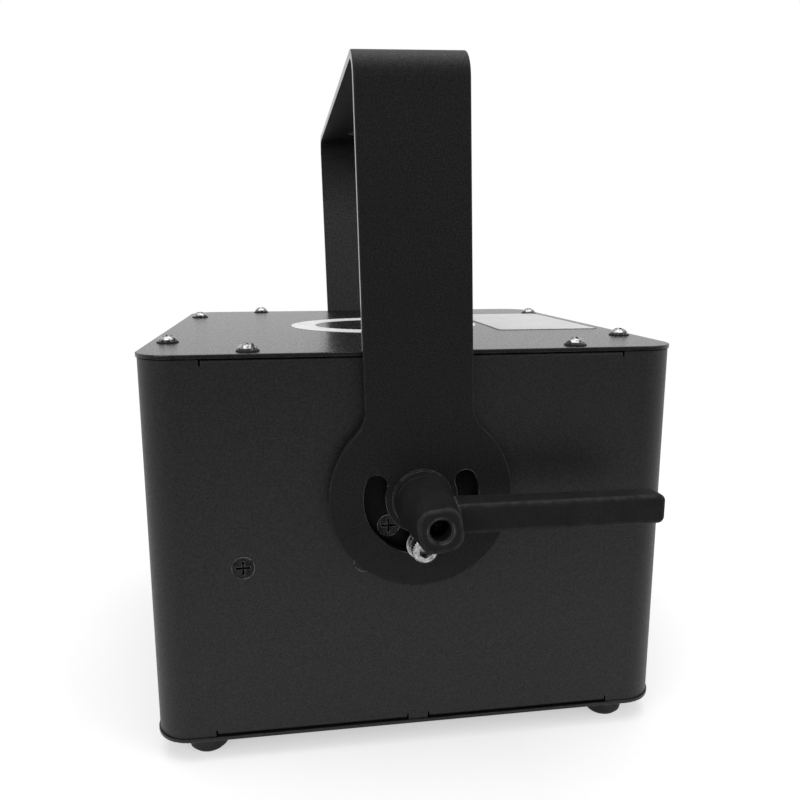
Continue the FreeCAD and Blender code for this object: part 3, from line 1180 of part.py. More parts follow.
def make_scanner():
    wall, radius = d.block_wall, d.galvo_radius
    side = (radius + wall) * 2
    high_z = beam_z + d.scan_rise
    x_y = -d.beam_line + d.block_set + d.block_length / 2
    x_block = box(side, d.block_length, beam_z - deck_top + radius + wall, 0, x_y, deck_top)
    y_x = d.block_set + d.block_length / 2
    y_block = box(d.block_length, side, high_z - deck_top + radius + wall, y_x, -d.beam_line, deck_top)
    web = box(wall * 2, d.block_set + wall * 2, beam_z - deck_top + radius + wall, d.block_set + wall,
              -d.beam_line + d.block_set, deck_top)
    bore = radius + d.galvo_gap
    x_bore = rod(bore, d.galvo_length * 2, 0, -d.beam_line + d.block_set - d.sheet, beam_z, "Y")
    y_bore = rod(bore, d.galvo_length * 2, d.block_set - d.sheet, -d.beam_line, high_z, "X")
    sweep = rod(d.scan_mirror_long * 0.72, d.block_set * 2, 0, -d.beam_line - d.block_set, beam_z, "Y")
    cut(join([x_block, y_block, web]), [x_bore, y_bore, sweep], "scanner_block")
    for name, spot, axis, slope in (("x", (nothing, -d.beam_line, beam_z), "Y", 1),
                                    ("y", (nothing, -d.beam_line, high_z), "X", -1)):
        motor = Piece(name + "Motor")
        start = d.block_set
        motor.pad(motor.outline("XY", start).circle(0, 0, radius), d.galvo_length)
        motor.pad(motor.outline("XY", start + d.galvo_length).circle(0, 0, d.galvo_cap_radius), d.galvo_cap)
        shaft_bore = motor.outline("XY", start).circle(0, 0, d.galvo_shaft_radius + d.running_gap)
        motor.pocket(shaft_bore, d.galvo_shaft_bore, reverse=True)
        copies(motor.body, [(*spot, axis)], name + "_galvo_motor")
        mirror = Piece(name + "Mirror")
        clamp = start - d.scan_clamp_length
        shaft = mirror.outline("XY", clamp).circle(0, 0, d.galvo_shaft_radius)
        mirror.pad(shaft, d.scan_clamp_length + d.galvo_shaft_bore - d.running_gap)
        mirror.pad(mirror.outline("XY", clamp - d.scan_clamp_length / 2).circle(0, 0, d.galvo_clamp_radius),
                   d.scan_clamp_length)
        half = d.scan_mirror_wide / 2
        thick = d.scan_mirror_thick
        plate = mirror.outline("XY", clamp - d.scan_clamp_length / 2)
        corners = [(half, nothing), (-half, nothing), (-half, thick), (half, thick)]
        plate.path([((along + deep * slope) * diagonal, (deep - along * slope) * diagonal)
                    for along, deep in corners])
        mirror.pad(plate, d.scan_mirror_long, reverse=True)
        copies(mirror.body, [(*spot, axis)], name + "_galvo_mirror")


def make_sink():
    top = deck_top - d.deck_thickness
    x = d.laser_first_x + d.laser_pitch
    y = -d.laser_front + d.laser_length / 2
    parts = [box(d.sink_width, d.sink_length, d.sink_base, x, y, top - d.sink_base)]
    for step in range(11):
        fin_x = x + d.sink_pitch * (step - 5)
        parts.append(box(d.sink_fin, d.sink_length, d.sink_height, fin_x, y, top - d.sink_height))
    join(parts, "heat_sink")


# Electronics
def make_boards():
    base_top = shell_bottom
    wide, long, tall = d.supply_width, d.supply_length, d.supply_height
    case = box(wide, long, tall, d.supply_x, d.supply_y, base_top)
    step_in = box(d.terminal_depth, long - d.supply_wall * 2, d.terminal_height + d.terminal_depth,
                  d.supply_x - wide / 2 + d.terminal_depth / 2, d.supply_y, base_top + d.terminal_height)
    block, strip_x = d.terminal_depth * 0.6, d.supply_x - wide / 2 + d.terminal_depth * 0.5
    strip = [box(block, block, d.terminal_depth * 0.5, strip_x, d.supply_y + block * (step - 3) * 1.33,
                 base_top + d.terminal_height) for step in range(7)]
    join([cut(case, [step_in]), *strip], "power_supply")
    posts = []

    def flat_board(name, x, y, low, wide, long, post, chips):
        face = low + post
        board = box(wide, long, d.board_thickness, x, y, face)
        items = [board]
        for u, v, w, l, h in chips:
            items.append(box(wide * w, long * l, h, x + wide * u, y + long * v, face + d.board_thickness))
        post_x, post_y = wide / 2 - d.driver_post_inset, long / 2 - d.driver_post_inset
        for sign_x in (1, -1):
            for sign_y in (1, -1):
                posts.append(rod(d.post_flat, post, x + post_x * sign_x, y + post_y * sign_y, low))
        join(items, name)

    tall_part, chip = d.part_height, d.chip_height
    flat_board("laser_driver_board", d.driver_x, d.driver_y, base_top, d.driver_width, d.driver_length,
               d.driver_post, ((-0.25, 0.2, 0.2, 0.2, tall_part), (0.0, 0.2, 0.2, 0.2, tall_part),
                               (0.25, 0.2, 0.2, 0.2, tall_part), (0.0, -0.2, 0.5, 0.15, chip)))
    flat_board("galvo_driver_board", d.scan_board_x, d.scan_board_y, deck_top, d.scan_board_width,
               d.scan_board_length, d.scan_board_post, ((0.0, 0.25, 0.6, 0.12, tall_part),
                                                        (0.0, -0.25, 0.6, 0.12, tall_part),
                                                        (0.0, 0.0, 0.3, 0.15, chip)))
    board_y = panel_back - d.main_set
    wide, tall, middle, back = d.main_width, d.main_height, panel_z + d.main_z, board_y - d.board_thickness
    board = box(wide, d.board_thickness, tall, d.main_x, board_y - d.board_thickness / 2, middle - tall / 2)
    items = [board]
    for u, v, w, h, deep in ((-0.2, 0.2, 0.25, 0.2, chip), (0.25, 0.2, 0.15, 0.15, chip),
                             (0.0, -0.25, 0.5, 0.12, tall_part), (-0.25, -0.05, 0.12, 0.12, tall_part)):
        items.append(box(wide * w, deep, tall * h, d.main_x + wide * u, back - deep / 2,
                         middle + tall * (v - h / 2)))
    join(items, "main_board")
    for sign in (1, -1):
        for level_z in (d.main_post_low, d.main_post_high):
            post_x = d.main_x + d.main_post_x * sign
            posts.append(rod(d.post_flat, d.main_set, post_x, board_y, panel_z + level_z, "Y"))
    group(posts, "board_standoffs")


make_shell()
make_lid()
copies(lid_screw, lid_spots, "lid_screws")
make_base()
copies(wall_screw, base_spots + plate_spots + wall_spots, "sunk_screws")
copies(make_foot(), [(x, y, d.foot_height) for x, y in foot_spots], "rubber_feet")
make_yoke()
make_pivot_nodes()
make_lever_nodes()
make_window()
make_panel()
foot_screw_spots = [(x, y, shell_bottom) for x, y in foot_spots]
copies(panel_screw, foot_screw_spots + rim_spots + fan_spots + inlet_spots + dmx_spots, "pan_screws")
make_fan()
make_inlet()
make_rocker()
make_dmx()
group([make_signal(), make_interlock()], "signal_sockets")
make_key()
make_display()
make_deck()
make_lasers()
make_scanner()
make_sink()
make_boards()
doc.recompute()

# Nodes written out, one file each
nodes = [
    "housing_shell", "top_lid", "lid_screws", "base_plate", "sunk_screws", "rubber_feet", "yoke_bracket",
    "pivot_plates", "pivot_spacers", "lever_washers", "slot_washers", "slot_screws", "right_lever",
    "left_lever", "right_lever_stud", "left_lever_stud", "right_lever_spring", "left_lever_spring",
    "right_lever_screw", "left_lever_screw", "window_bezel", "window_glass", "window_gasket",
    "bezel_screws", "rear_panel", "pan_screws", "fan_frame", "fan_rotor", "fan_guard", "power_inlet",
    "rocker_frame", "power_rocker", "dmx_sockets", "signal_sockets", "key_switch", "key_barrel",
    "display_window", "display_board", "menu_button_1", "menu_button_2", "menu_button_3", "menu_button_4",
    "optics_deck", "red_laser", "green_laser", "blue_laser", "laser_lenses", "combiner_mirrors",
    "mirror_mounts", "scanner_block", "x_galvo_motor", "y_galvo_motor", "x_galvo_mirror", "y_galvo_mirror",
    "heat_sink", "power_supply", "laser_driver_board", "galvo_driver_board", "main_board",
    "board_standoffs",
]
faults = [f"{item.Label}: {item.State}" for item in doc.Objects
          if "Invalid" in item.State or "Error" in item.State]
by_label = {item.Label: item for item in doc.Objects}
for node in nodes:
    shape = by_label[node].Shape
    if shape.isNull() or not shape.isValid() or not shape.Solids:
        faults.append(f"{node}: shape is not a valid solid")
if faults:
    raise RuntimeError("; ".join(faults))
os.makedirs("parts", exist_ok=True)
for node in nodes:
    by_label[node].Shape.exportStep(f"parts/{node}.step")
print(len(nodes), "nodes written")
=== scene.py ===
import math

import bmesh
import bpy
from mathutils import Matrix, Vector


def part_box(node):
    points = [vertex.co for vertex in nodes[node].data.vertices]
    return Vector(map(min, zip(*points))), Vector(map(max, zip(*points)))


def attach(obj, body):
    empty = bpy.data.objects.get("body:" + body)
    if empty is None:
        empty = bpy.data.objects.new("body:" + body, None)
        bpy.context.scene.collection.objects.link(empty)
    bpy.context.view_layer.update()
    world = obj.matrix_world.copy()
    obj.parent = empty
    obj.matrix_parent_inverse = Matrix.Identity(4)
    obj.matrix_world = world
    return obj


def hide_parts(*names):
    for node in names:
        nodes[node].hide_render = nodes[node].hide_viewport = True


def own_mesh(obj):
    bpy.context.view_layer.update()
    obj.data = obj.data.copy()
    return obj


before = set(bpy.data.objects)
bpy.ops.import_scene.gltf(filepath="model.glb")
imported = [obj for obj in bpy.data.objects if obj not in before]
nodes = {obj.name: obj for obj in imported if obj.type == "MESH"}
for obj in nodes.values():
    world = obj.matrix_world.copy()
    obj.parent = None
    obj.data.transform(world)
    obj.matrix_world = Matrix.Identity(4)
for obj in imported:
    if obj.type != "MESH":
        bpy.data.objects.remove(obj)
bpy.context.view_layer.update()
scene = bpy.context.scene
mm = 0.001

# shader helpers


def newMaterial(name):
    material = bpy.data.materials.new(name)
    material.use_nodes = True
    tree = material.node_tree
    return material, tree, tree.nodes["Principled BSDF"]


def addNode(tree, kind, sockets=None, **settings):
    node = tree.nodes.new("ShaderNode" + kind)
    for key, value in settings.items():
        setattr(node, key, value)
    for key, value in (sockets or {}).items():
        node.inputs[key].default_value = value
    return node


def plug(tree, source, target):
    tree.links.new(source, target)


def spots(tree):
    return addNode(tree, "TexCoord").outputs["Object"]  # metres, fixed to the piece


def noise(tree, sizeMm, detail=3.0, rough=0.55, stretch=None):
    node = addNode(tree, "TexNoise", {"Scale": 1 / (sizeMm * mm), "Detail": detail, "Roughness": rough})
    source = spots(tree)
    if stretch:
        mapped = addNode(tree, "Mapping", {"Scale": stretch})
        plug(tree, source, mapped.inputs["Vector"])
        source = mapped.outputs["Vector"]
    plug(tree, source, node.inputs["Vector"])
    return node.outputs["Fac"]


spread = (0.3, 0.7)  # most of a noise's values lie here
midSpread = (0.35, 0.65)


def ramp(tree, source, low, high, toLow=0.0, toHigh=1.0):
    sockets = {"From Min": low, "From Max": high, "To Min": toLow, "To Max": toHigh}
    node = addNode(tree, "MapRange", sockets)
    plug(tree, source, node.inputs["Value"])
    return node.outputs["Result"]


def byMask(tree, mask, outside, inside):
    return ramp(tree, mask, 0.0, 1.0, outside, inside)


def sums(tree, operation, first, second):
    node = addNode(tree, "Math", operation=operation)
    for socket, value in zip(node.inputs, (first, second)):
        if isinstance(value, (int, float)):
            socket.default_value = value
        else:
            plug(tree, value, socket)
    return node.outputs["Value"]


def blendColour(tree, mask, first, second):
    node = addNode(tree, "Mix", data_type="RGBA")
    plug(tree, mask, node.inputs["Factor"])
    for socket, value in ((node.inputs[6], first), (node.inputs[7], second)):
        if isinstance(value, tuple):
            socket.default_value = (*value, 1.0)
        else:
            plug(tree, value, socket)
    return node.outputs[2]


def bump(tree, height, depthMm, strength=1.0, under=None):
    node = addNode(tree, "Bump", {"Strength": strength, "Distance": depthMm * mm})
    plug(tree, height, node.inputs["Height"])
    if under is not None:
        plug(tree, under, node.inputs["Normal"])
    return node.outputs["Normal"]


def edgeMask(tree, radiusMm, reach=0.12):
    rounded = addNode(tree, "Bevel", {"Radius": radiusMm * mm}, samples=6)
    plain = addNode(tree, "NewGeometry")
    turn = addNode(tree, "VectorMath", operation="DOT_PRODUCT")
    plug(tree, rounded.outputs["Normal"], turn.inputs[0])
    plug(tree, plain.outputs["Normal"], turn.inputs[1])
    return ramp(tree, turn.outputs["Value"], 1.0, 1.0 - reach)


def axisOf(tree, letter):
    parts = addNode(tree, "SeparateXYZ")
    plug(tree, spots(tree), parts.inputs["Vector"])
    return parts.outputs[letter]


def between(tree, letter, low, high, soft=0.02 * mm):
    place = axisOf(tree, letter)
    return sums(tree, "MULTIPLY", ramp(tree, place, low - soft, low), ramp(tree, place, high + soft, high))


def inBox(tree, low, high):
    mask = between(tree, "X", low[0], high[0])
    for letter, start, end in zip("YZ", low[1:], high[1:]):
        mask = sums(tree, "MULTIPLY", mask, between(tree, letter, start, end))
    return mask


hollowBand = (0.95, 0.35)  # open to enclosed


def hollow(tree, reachMm):
    node = addNode(tree, "AmbientOcclusion", {"Distance": reachMm * mm}, samples=8, only_local=True)
    return ramp(tree, node.outputs["AO"], *hollowBand)  # 1 down in a recess, 0 out in the open


def dress(material, *names):
    for name in names:
        for slot in nodes[name].material_slots:
            slot.material = material


# finishes

powderCoat = {"colour": (0.0030, 0.0030, 0.0032), "pale": (0.0100, 0.0100, 0.0102),
              "wearAndHighlight": (0.03, 0.03, 0.031), "specular": (0.22, 0.40), "rough": (0.31, 0.41),
              "edgeMm": 0.5, "rubMm": 6.0, "sheenMm": 1.1, "cloudMm": 38.0, "cloudTones": (0.7, 1.0),
              "grainMm": 0.6, "grainDepth": 0.05, "waveMm": 9.0, "waveDepth": 0.03,
              "speckBand": (0.4, 0.68), "rubBand": (0.42, 0.62), "glintShare": 0.8}
shellCoat = {**powderCoat, "rough": (0.39, 0.49),
             # painted shade on the wall under the yoke disc, inside its slot
             "slotShadeMm": 27.0, "slotShadeFadeMm": 2.0, "slotShade": (0.0020, 0.0020, 0.0020), "slotShadeGlint": 0.24,
             # painted shade along the line where the lid sits on the walls
             "seamShadeMm": 0.4, "seamShadeFadeMm": 0.1, "seamShade": (0.0012, 0.0012, 0.0012), "seamShadeGlint": 0.1}
yokeCoat = {**powderCoat, "colour": (0.0056, 0.0056, 0.0058), "pale": (0.0150, 0.0150, 0.0152),
            "wearAndHighlight": (0.12, 0.12, 0.12), "rough": (0.42, 0.52), "specular": (0.07, 0.17),
            # painted light on the inner faces of the bracket
            "insideMm": (102.3, 45.0, 40.0), "inside": (0.068, 0.068, 0.070),
            "edgeTurn": (0.5, 0.9), "edgeRough": 0.2, "edgeSpecular": 0.45}
lidCoat = {**powderCoat, "rough": (0.23, 0.31)}
pivotZ = 102.4 * mm


def roundPivot(tree):
    flat = addNode(tree, "VectorMath", {1: (0, 1, 1)}, operation="MULTIPLY")
    plug(tree, spots(tree), flat.inputs[0])
    reach = addNode(tree, "VectorMath", {1: (0, 0, pivotZ)}, operation="DISTANCE")
    plug(tree, flat.outputs["Vector"], reach.inputs[0])
    return reach.outputs["Value"]


def makePowderCoat(name, spec):
    material, tree, shader = newMaterial(name)
    cloud = ramp(tree, noise(tree, spec["cloudMm"]), *spread, *spec["cloudTones"])
    speck = ramp(tree, noise(tree, spec["grainMm"], detail=2.0, rough=0.7), *spec["speckBand"])
    base = blendColour(tree, sums(tree, "MULTIPLY", cloud, speck), spec["colour"], spec["pale"])
    # paler edges: wear, and painted highlight along them
    rub = ramp(tree, noise(tree, spec["rubMm"]), *spec["rubBand"])
    wornAndLitEdges = sums(tree, "MULTIPLY", edgeMask(tree, spec["edgeMm"]), rub)
    base = blendColour(tree, wornAndLitEdges, base, spec["wearAndHighlight"])
    glints = noise(tree, spec["grainMm"] * spec["glintShare"], detail=2.0, rough=0.7)
    glint = ramp(tree, glints, *midSpread, *spec["specular"])
    if "slotShadeMm" in spec:  # painted shade: dark, dull ring on the wall under the yoke disc, seen only through its slot
        rim, fade = spec["slotShadeMm"] * mm, spec["slotShadeFadeMm"] * mm
        slotShaded = ramp(tree, roundPivot(tree), rim, rim - fade)
        base = blendColour(tree, slotShaded, base, spec["slotShade"])
        glint = sums(tree, "MULTIPLY", glint, byMask(tree, slotShaded, 1.0, spec["slotShadeGlint"]))
    if "insideMm" in spec:  # painted light: paler coat on the inner faces of the bracket, below its top
        half, drop, fade = (part * mm for part in spec["insideMm"])
        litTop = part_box("yoke_bracket")[1].z - drop
        inner = sums(tree, "MULTIPLY", between(tree, "X", -half, half),
                     between(tree, "Z", 0.0, litTop, fade))
        base = blendColour(tree, inner, base, blendColour(tree, speck, spec["pale"], spec["inside"]))
    if "seamShadeMm" in spec:  # painted shade: dark line where the lid sits on the walls
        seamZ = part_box("top_lid")[0].z
        seamShade = between(tree, "Z", seamZ - spec["seamShadeMm"] * mm, seamZ, spec["seamShadeFadeMm"] * mm)
        base = blendColour(tree, seamShade, base, spec["seamShade"])
        glint = sums(tree, "MULTIPLY", glint, byMask(tree, seamShade, 1.0, spec["seamShadeGlint"]))
    rough = ramp(tree, noise(tree, spec["sheenMm"], detail=2.0), *spread, *spec["rough"])
    if "edgeTurn" in spec:  # smoother coat on the cut edges of the sheet
        facing = addNode(tree, "SeparateXYZ")
        plug(tree, addNode(tree, "TexCoord").outputs["Normal"], facing.inputs["Vector"])
        cutEdge = ramp(tree, sums(tree, "ABSOLUTE", facing.outputs["Y"], 0.0), *spec["edgeTurn"])
        glint = sums(tree, "MAXIMUM", glint, byMask(tree, cutEdge, 0.0, spec["edgeSpecular"]))
        rough = sums(tree, "MINIMUM", rough, byMask(tree, cutEdge, 1.0, spec["edgeRough"]))
    plug(tree, base, shader.inputs["Base Color"])
    plug(tree, glint, shader.inputs["Specular IOR Level"])
    plug(tree, rough, shader.inputs["Roughness"])
    # slow orange peel under the grain
    flow = bump(tree, noise(tree, spec["waveMm"], detail=1.0), spec["waveDepth"])
    grains = noise(tree, spec["grainMm"], detail=2.5, rough=0.6)
    grain = bump(tree, grains, spec["grainDepth"], strength=0.9, under=flow)
    plug(tree, grain, shader.inputs["Normal"])
    return material


metalEdge = {"edgeMm": 0.25, "rubMm": 1.5, "rubBand": (0.35, 0.6)}


def makeMetal(name, spec, cover=None):
    material, tree, shader = newMaterial(name)
    tone = ramp(tree, noise(tree, spec["toneMm"]), *spread)
    base = blendColour(tree, tone, spec["dark"], spec["bright"])
    rub = ramp(tree, noise(tree, metalEdge["rubMm"]), *metalEdge["rubBand"])
    wornAndLitEdges = sums(tree, "MULTIPLY", edgeMask(tree, metalEdge["edgeMm"]), rub)
    base = blendColour(tree, wornAndLitEdges, base, spec["wearAndHighlight"])
    # grime, and painted shade, darken the metal down in recesses
    base = blendColour(tree, hollow(tree, spec["grimeAndShadeMm"]), base, spec["grimeAndShade"])
    marks = noise(tree, spec["markMm"], detail=2.0, rough=0.6, stretch=spec["brush"])
    rough = ramp(tree, marks, *spread, *spec["rough"])
    if cover:
        mask = cover(tree)
        base = blendColour(tree, mask, base, spec["coverColour"])
        plug(tree, byMask(tree, mask, 1.0, 0.0), shader.inputs["Metallic"])
        rough = sums(tree, "MAXIMUM", rough, byMask(tree, mask, 0.0, spec["coverRough"]))
    else:
        shader.inputs["Metallic"].default_value = 1.0
    plug(tree, base, shader.inputs["Base Color"])
    plug(tree, rough, shader.inputs["Roughness"])
    plug(tree, bump(tree, marks, spec["markDepth"], strength=0.6), shader.inputs["Normal"])
    return material


mouldingEdge = {"edgeMm": 0.4, "rubMm": 3.0, "rubBand": (0.3, 0.6), "sheenMm": 2.2, "speckShare": 1.6,
                "speckBand": (0.35, 0.7)}


def makeMoulding(name, spec, contacts=None):
    material, tree, shader = newMaterial(name)
    cloud = ramp(tree, noise(tree, spec["cloudMm"], detail=2.0), *midSpread)
    specks = noise(tree, spec["grainMm"] * mouldingEdge["speckShare"], detail=2.0, rough=0.7)
    speck = ramp(tree, specks, *mouldingEdge["speckBand"])
    base = blendColour(tree, sums(tree, "MULTIPLY", cloud, speck), spec["colour"], spec["pale"])
    # paler edges: wear, and painted highlight along them
    edges = edgeMask(tree, spec.get("edgeMm", mouldingEdge["edgeMm"]))
    rub = ramp(tree, noise(tree, mouldingEdge["rubMm"]), *mouldingEdge["rubBand"])
    wornAndLitEdges = sums(tree, "MULTIPLY", edges, rub)
    base = blendColour(tree, wornAndLitEdges, base, spec["wearAndHighlight"])
    if contacts:
        mask = contacts(tree)
        base = blendColour(tree, mask, base, spec["contactColour"])
        plug(tree, mask, shader.inputs["Metallic"])
    plug(tree, base, shader.inputs["Base Color"])
    rough = ramp(tree, noise(tree, mouldingEdge["sheenMm"]), *spread, *spec["rough"])
    plug(tree, rough, shader.inputs["Roughness"])
    grain = bump(tree, noise(tree, spec["grainMm"], detail=2.0), spec["grainDepth"], strength=0.7)
    plug(tree, grain, shader.inputs["Normal"])
    shader.inputs["Specular IOR Level"].default_value = spec["specular"]
    return material


metalFinishes = {
    "lidScrewNickel": {"dark": (0.05, 0.05, 0.052), "bright": (0.55, 0.55, 0.54), "wearAndHighlight": (0.7, 0.7, 0.7),
                       "grimeAndShade": (0.006, 0.006, 0.006), "grimeAndShadeMm": 2.2, "coverColour": (0.004, 0.004, 0.004),
                       "coverRough": 0.85, "toneMm": 1.2, "markMm": 0.4, "markDepth": 0.01,
                       "brush": (1, 1, 1), "rough": (0.12, 0.26)},
    "darkNickel": {"dark": (0.07, 0.07, 0.075), "bright": (0.24, 0.24, 0.25), "wearAndHighlight": (0.6, 0.6, 0.6),
                   "grimeAndShade": (0.012, 0.012, 0.012), "grimeAndShadeMm": 1.6, "toneMm": 1.6, "markMm": 0.4,
                   "markDepth": 0.01, "brush": (1, 1, 1), "rough": (0.14, 0.3)},
    "blackOxide": {"dark": (0.010, 0.010, 0.011), "bright": (0.03, 0.03, 0.032), "wearAndHighlight": (0.22, 0.22, 0.21),
                   "grimeAndShade": (0.003, 0.003, 0.003), "grimeAndShadeMm": 1.4, "toneMm": 2.0, "markMm": 0.5,
                   "markDepth": 0.012, "brush": (1, 1, 1), "rough": (0.3, 0.46)},
    # black oxide, darkened further by painted shade down in the lever bore
    "boreScrewBlackAndShade": {"dark": (0.004, 0.004, 0.004), "bright": (0.010, 0.010, 0.010),
                       "wearAndHighlight": (0.02, 0.02, 0.02), "grimeAndShade": (0.002, 0.002, 0.002), "grimeAndShadeMm": 1.4,
                       "toneMm": 2.0, "markMm": 0.5, "markDepth": 0.012, "brush": (1, 1, 1),
                       "rough": (0.4, 0.55)},
    "brightZinc": {"dark": (0.14, 0.145, 0.15), "bright": (0.50, 0.50, 0.49), "wearAndHighlight": (0.9, 0.9, 0.9),
                   "grimeAndShade": (0.02, 0.02, 0.02), "grimeAndShadeMm": 1.6, "toneMm": 1.3, "markMm": 0.3,
                   "markDepth": 0.012, "brush": (1, 1, 3), "rough": (0.14, 0.3)},
    "nickelFitting": {"dark": (0.42, 0.41, 0.39), "bright": (0.62, 0.61, 0.58), "wearAndHighlight": (0.85, 0.84, 0.8),
                      "grimeAndShade": (0.06, 0.058, 0.05), "grimeAndShadeMm": 1.2, "coverColour": (0.010, 0.011, 0.014),
                      "coverRough": 0.45, "toneMm": 4.0, "markMm": 0.35, "markDepth": 0.008,
                      "brush": (1, 1, 1), "rough": (0.18, 0.32)},
    "turnedAluminium": {"dark": (0.42, 0.43, 0.45), "bright": (0.66, 0.67, 0.68), "wearAndHighlight": (0.9, 0.9, 0.9),
                        "grimeAndShade": (0.12, 0.12, 0.12), "grimeAndShadeMm": 2.0, "toneMm": 12.0, "markMm": 0.9,
                        "markDepth": 0.008, "brush": (1, 0.1, 1), "rough": (0.26, 0.42)},
    "blackAnodised": {"dark": (0.012, 0.012, 0.014), "bright": (0.03, 0.03, 0.033), "wearAndHighlight": (0.3, 0.3, 0.3),
                      "grimeAndShade": (0.005, 0.005, 0.005), "grimeAndShadeMm": 2.0, "toneMm": 14.0, "markMm": 1.2,
                      "markDepth": 0.006, "brush": (1, 0.1, 1), "rough": (0.34, 0.48)},
    "springSteel": {"dark": (0.32, 0.32, 0.33), "bright": (0.55, 0.55, 0.56), "wearAndHighlight": (0.8, 0.8, 0.8),
                    "grimeAndShade": (0.05, 0.05, 0.05), "grimeAndShadeMm": 1.0, "toneMm": 3.0, "markMm": 0.3,
                    "markDepth": 0.008, "brush": (1, 1, 1), "rough": (0.2, 0.34)},
    "caseSteel": {"dark": (0.5, 0.5, 0.49), "bright": (0.68, 0.68, 0.66), "wearAndHighlight": (0.88, 0.88, 0.86),
                  "grimeAndShade": (0.16, 0.16, 0.15), "grimeAndShadeMm": 2.0, "toneMm": 18.0, "markMm": 1.8,
                  "markDepth": 0.01, "brush": (1, 1, 1), "rough": (0.3, 0.46)},
}
mouldings = {
    # wide pale edges: wear, and painted highlight on the hub's rounded rim
    "satinLever": {"colour": (0.0095, 0.0095, 0.0097), "pale": (0.0165, 0.0165, 0.0167),
                   "wearAndHighlight": (0.11, 0.11, 0.11), "edgeMm": 1.5, "cloudMm": 9.0, "grainMm": 0.45,
                   "grainDepth": 0.03, "rough": (0.42, 0.58), "specular": 0.06},
    "socketMoulding": {"colour": (0.009, 0.009, 0.009), "pale": (0.018, 0.018, 0.018),
                       "wearAndHighlight": (0.05, 0.05, 0.05), "contactColour": (0.62, 0.58, 0.48), "cloudMm": 10.0,
                       "grainMm": 0.4, "grainDepth": 0.03, "rough": (0.34, 0.48), "specular": 0.4},
    "glossRocker": {"colour": (0.007, 0.007, 0.007), "pale": (0.013, 0.013, 0.013),
                    "wearAndHighlight": (0.05, 0.05, 0.05), "cloudMm": 5.0, "grainMm": 1.2, "grainDepth": 0.01,
                    "rough": (0.12, 0.22), "specular": 0.5},
    "fanNylon": {"colour": (0.010, 0.010, 0.0105), "pale": (0.022, 0.022, 0.022), "wearAndHighlight": (0.06, 0.06, 0.06),
                 "cloudMm": 7.0, "grainMm": 0.6, "grainDepth": 0.03, "rough": (0.42, 0.58), "specular": 0.4},
    "blackWasher": {"colour": (0.006, 0.006, 0.006), "pale": (0.014, 0.014, 0.014),
                    "wearAndHighlight": (0.12, 0.12, 0.12), "cloudMm": 4.0, "grainMm": 0.4, "grainDepth": 0.02,
                    "rough": (0.3, 0.42), "specular": 0.4},
    "spacerNylon": {"colour": (0.02, 0.02, 0.02), "pale": (0.035, 0.035, 0.034), "wearAndHighlight": (0.09, 0.09, 0.09),
                    "cloudMm": 6.0, "grainMm": 0.5, "grainDepth": 0.02, "rough": (0.42, 0.6),
                    "specular": 0.4},
    "keyCapPlastic": {"colour": (0.035, 0.035, 0.037), "pale": (0.065, 0.065, 0.067),
                      "wearAndHighlight": (0.14, 0.14, 0.14), "cloudMm": 4.0, "grainMm": 0.25, "grainDepth": 0.02,
                      "rough": (0.38, 0.52), "specular": 0.4},
    "footRubber": {"colour": (0.008, 0.008, 0.008), "pale": (0.022, 0.0215, 0.021),
                   "wearAndHighlight": (0.06, 0.058, 0.055), "cloudMm": 4.0, "grainMm": 0.35, "grainDepth": 0.05,
                   "rough": (0.58, 0.8), "specular": 0.3},
    "sealFoam": {"colour": (0.008, 0.008, 0.008), "pale": (0.02, 0.02, 0.02), "wearAndHighlight": (0.03, 0.03, 0.03),
                 "cloudMm": 2.0, "grainMm": 0.5, "grainDepth": 0.12, "rough": (0.8, 0.95), "specular": 0.2},
}


# the low index stands for the window's coating
windowGlass = {"tint": (0.93, 0.97, 0.95), "ior": 1.12, "smearMm": 14.0, "smear": (0.0, 0.03),
               "smearBand": (0.5, 0.75)}


def makeGlass(name, spec):
    material, tree, shader = newMaterial(name)
    # faint smears where it was wiped
    haze = ramp(tree, noise(tree, spec["smearMm"], detail=4.0), *spec["smearBand"], *spec["smear"])
    plug(tree, haze, shader.inputs["Roughness"])
    shader.inputs["Base Color"].default_value = (*spec["tint"], 1.0)
    shader.inputs["Transmission Weight"].default_value = 1.0
    shader.inputs["IOR"].default_value = spec["ior"]
    # room light goes straight through, without caustics
    clear = addNode(tree, "BsdfTransparent", {"Color": (*spec["tint"], 1.0)})
    pick = addNode(tree, "MixShader")
    path = addNode(tree, "LightPath")
    straight = sums(tree, "MAXIMUM", path.outputs["Is Shadow Ray"], path.outputs["Is Diffuse Ray"])
    plug(tree, straight, pick.inputs[0])
    plug(tree, shader.outputs[0], pick.inputs[1])
    plug(tree, clear.outputs[0], pick.inputs[2])
    plug(tree, pick.outputs[0], tree.nodes["Material Output"].inputs["Surface"])
    return material


displayTint = {"border": (0.003, 0.003, 0.003), "dark": (0.010, 0.016, 0.017), "pale": (0.017, 0.026, 0.027),
               "rough": (0.05, 0.12), "marginMm": (4.5, 2.8), "cellMm": 1.1, "cloudMm": 16.0, "smearMm": 7.0,
               "cloudTones": (0.5, 1.0), "cellTones": (0.7, 1.0), "smearBand": (0.4, 0.7),
               "coat": 0.6, "coatRough": 0.04}


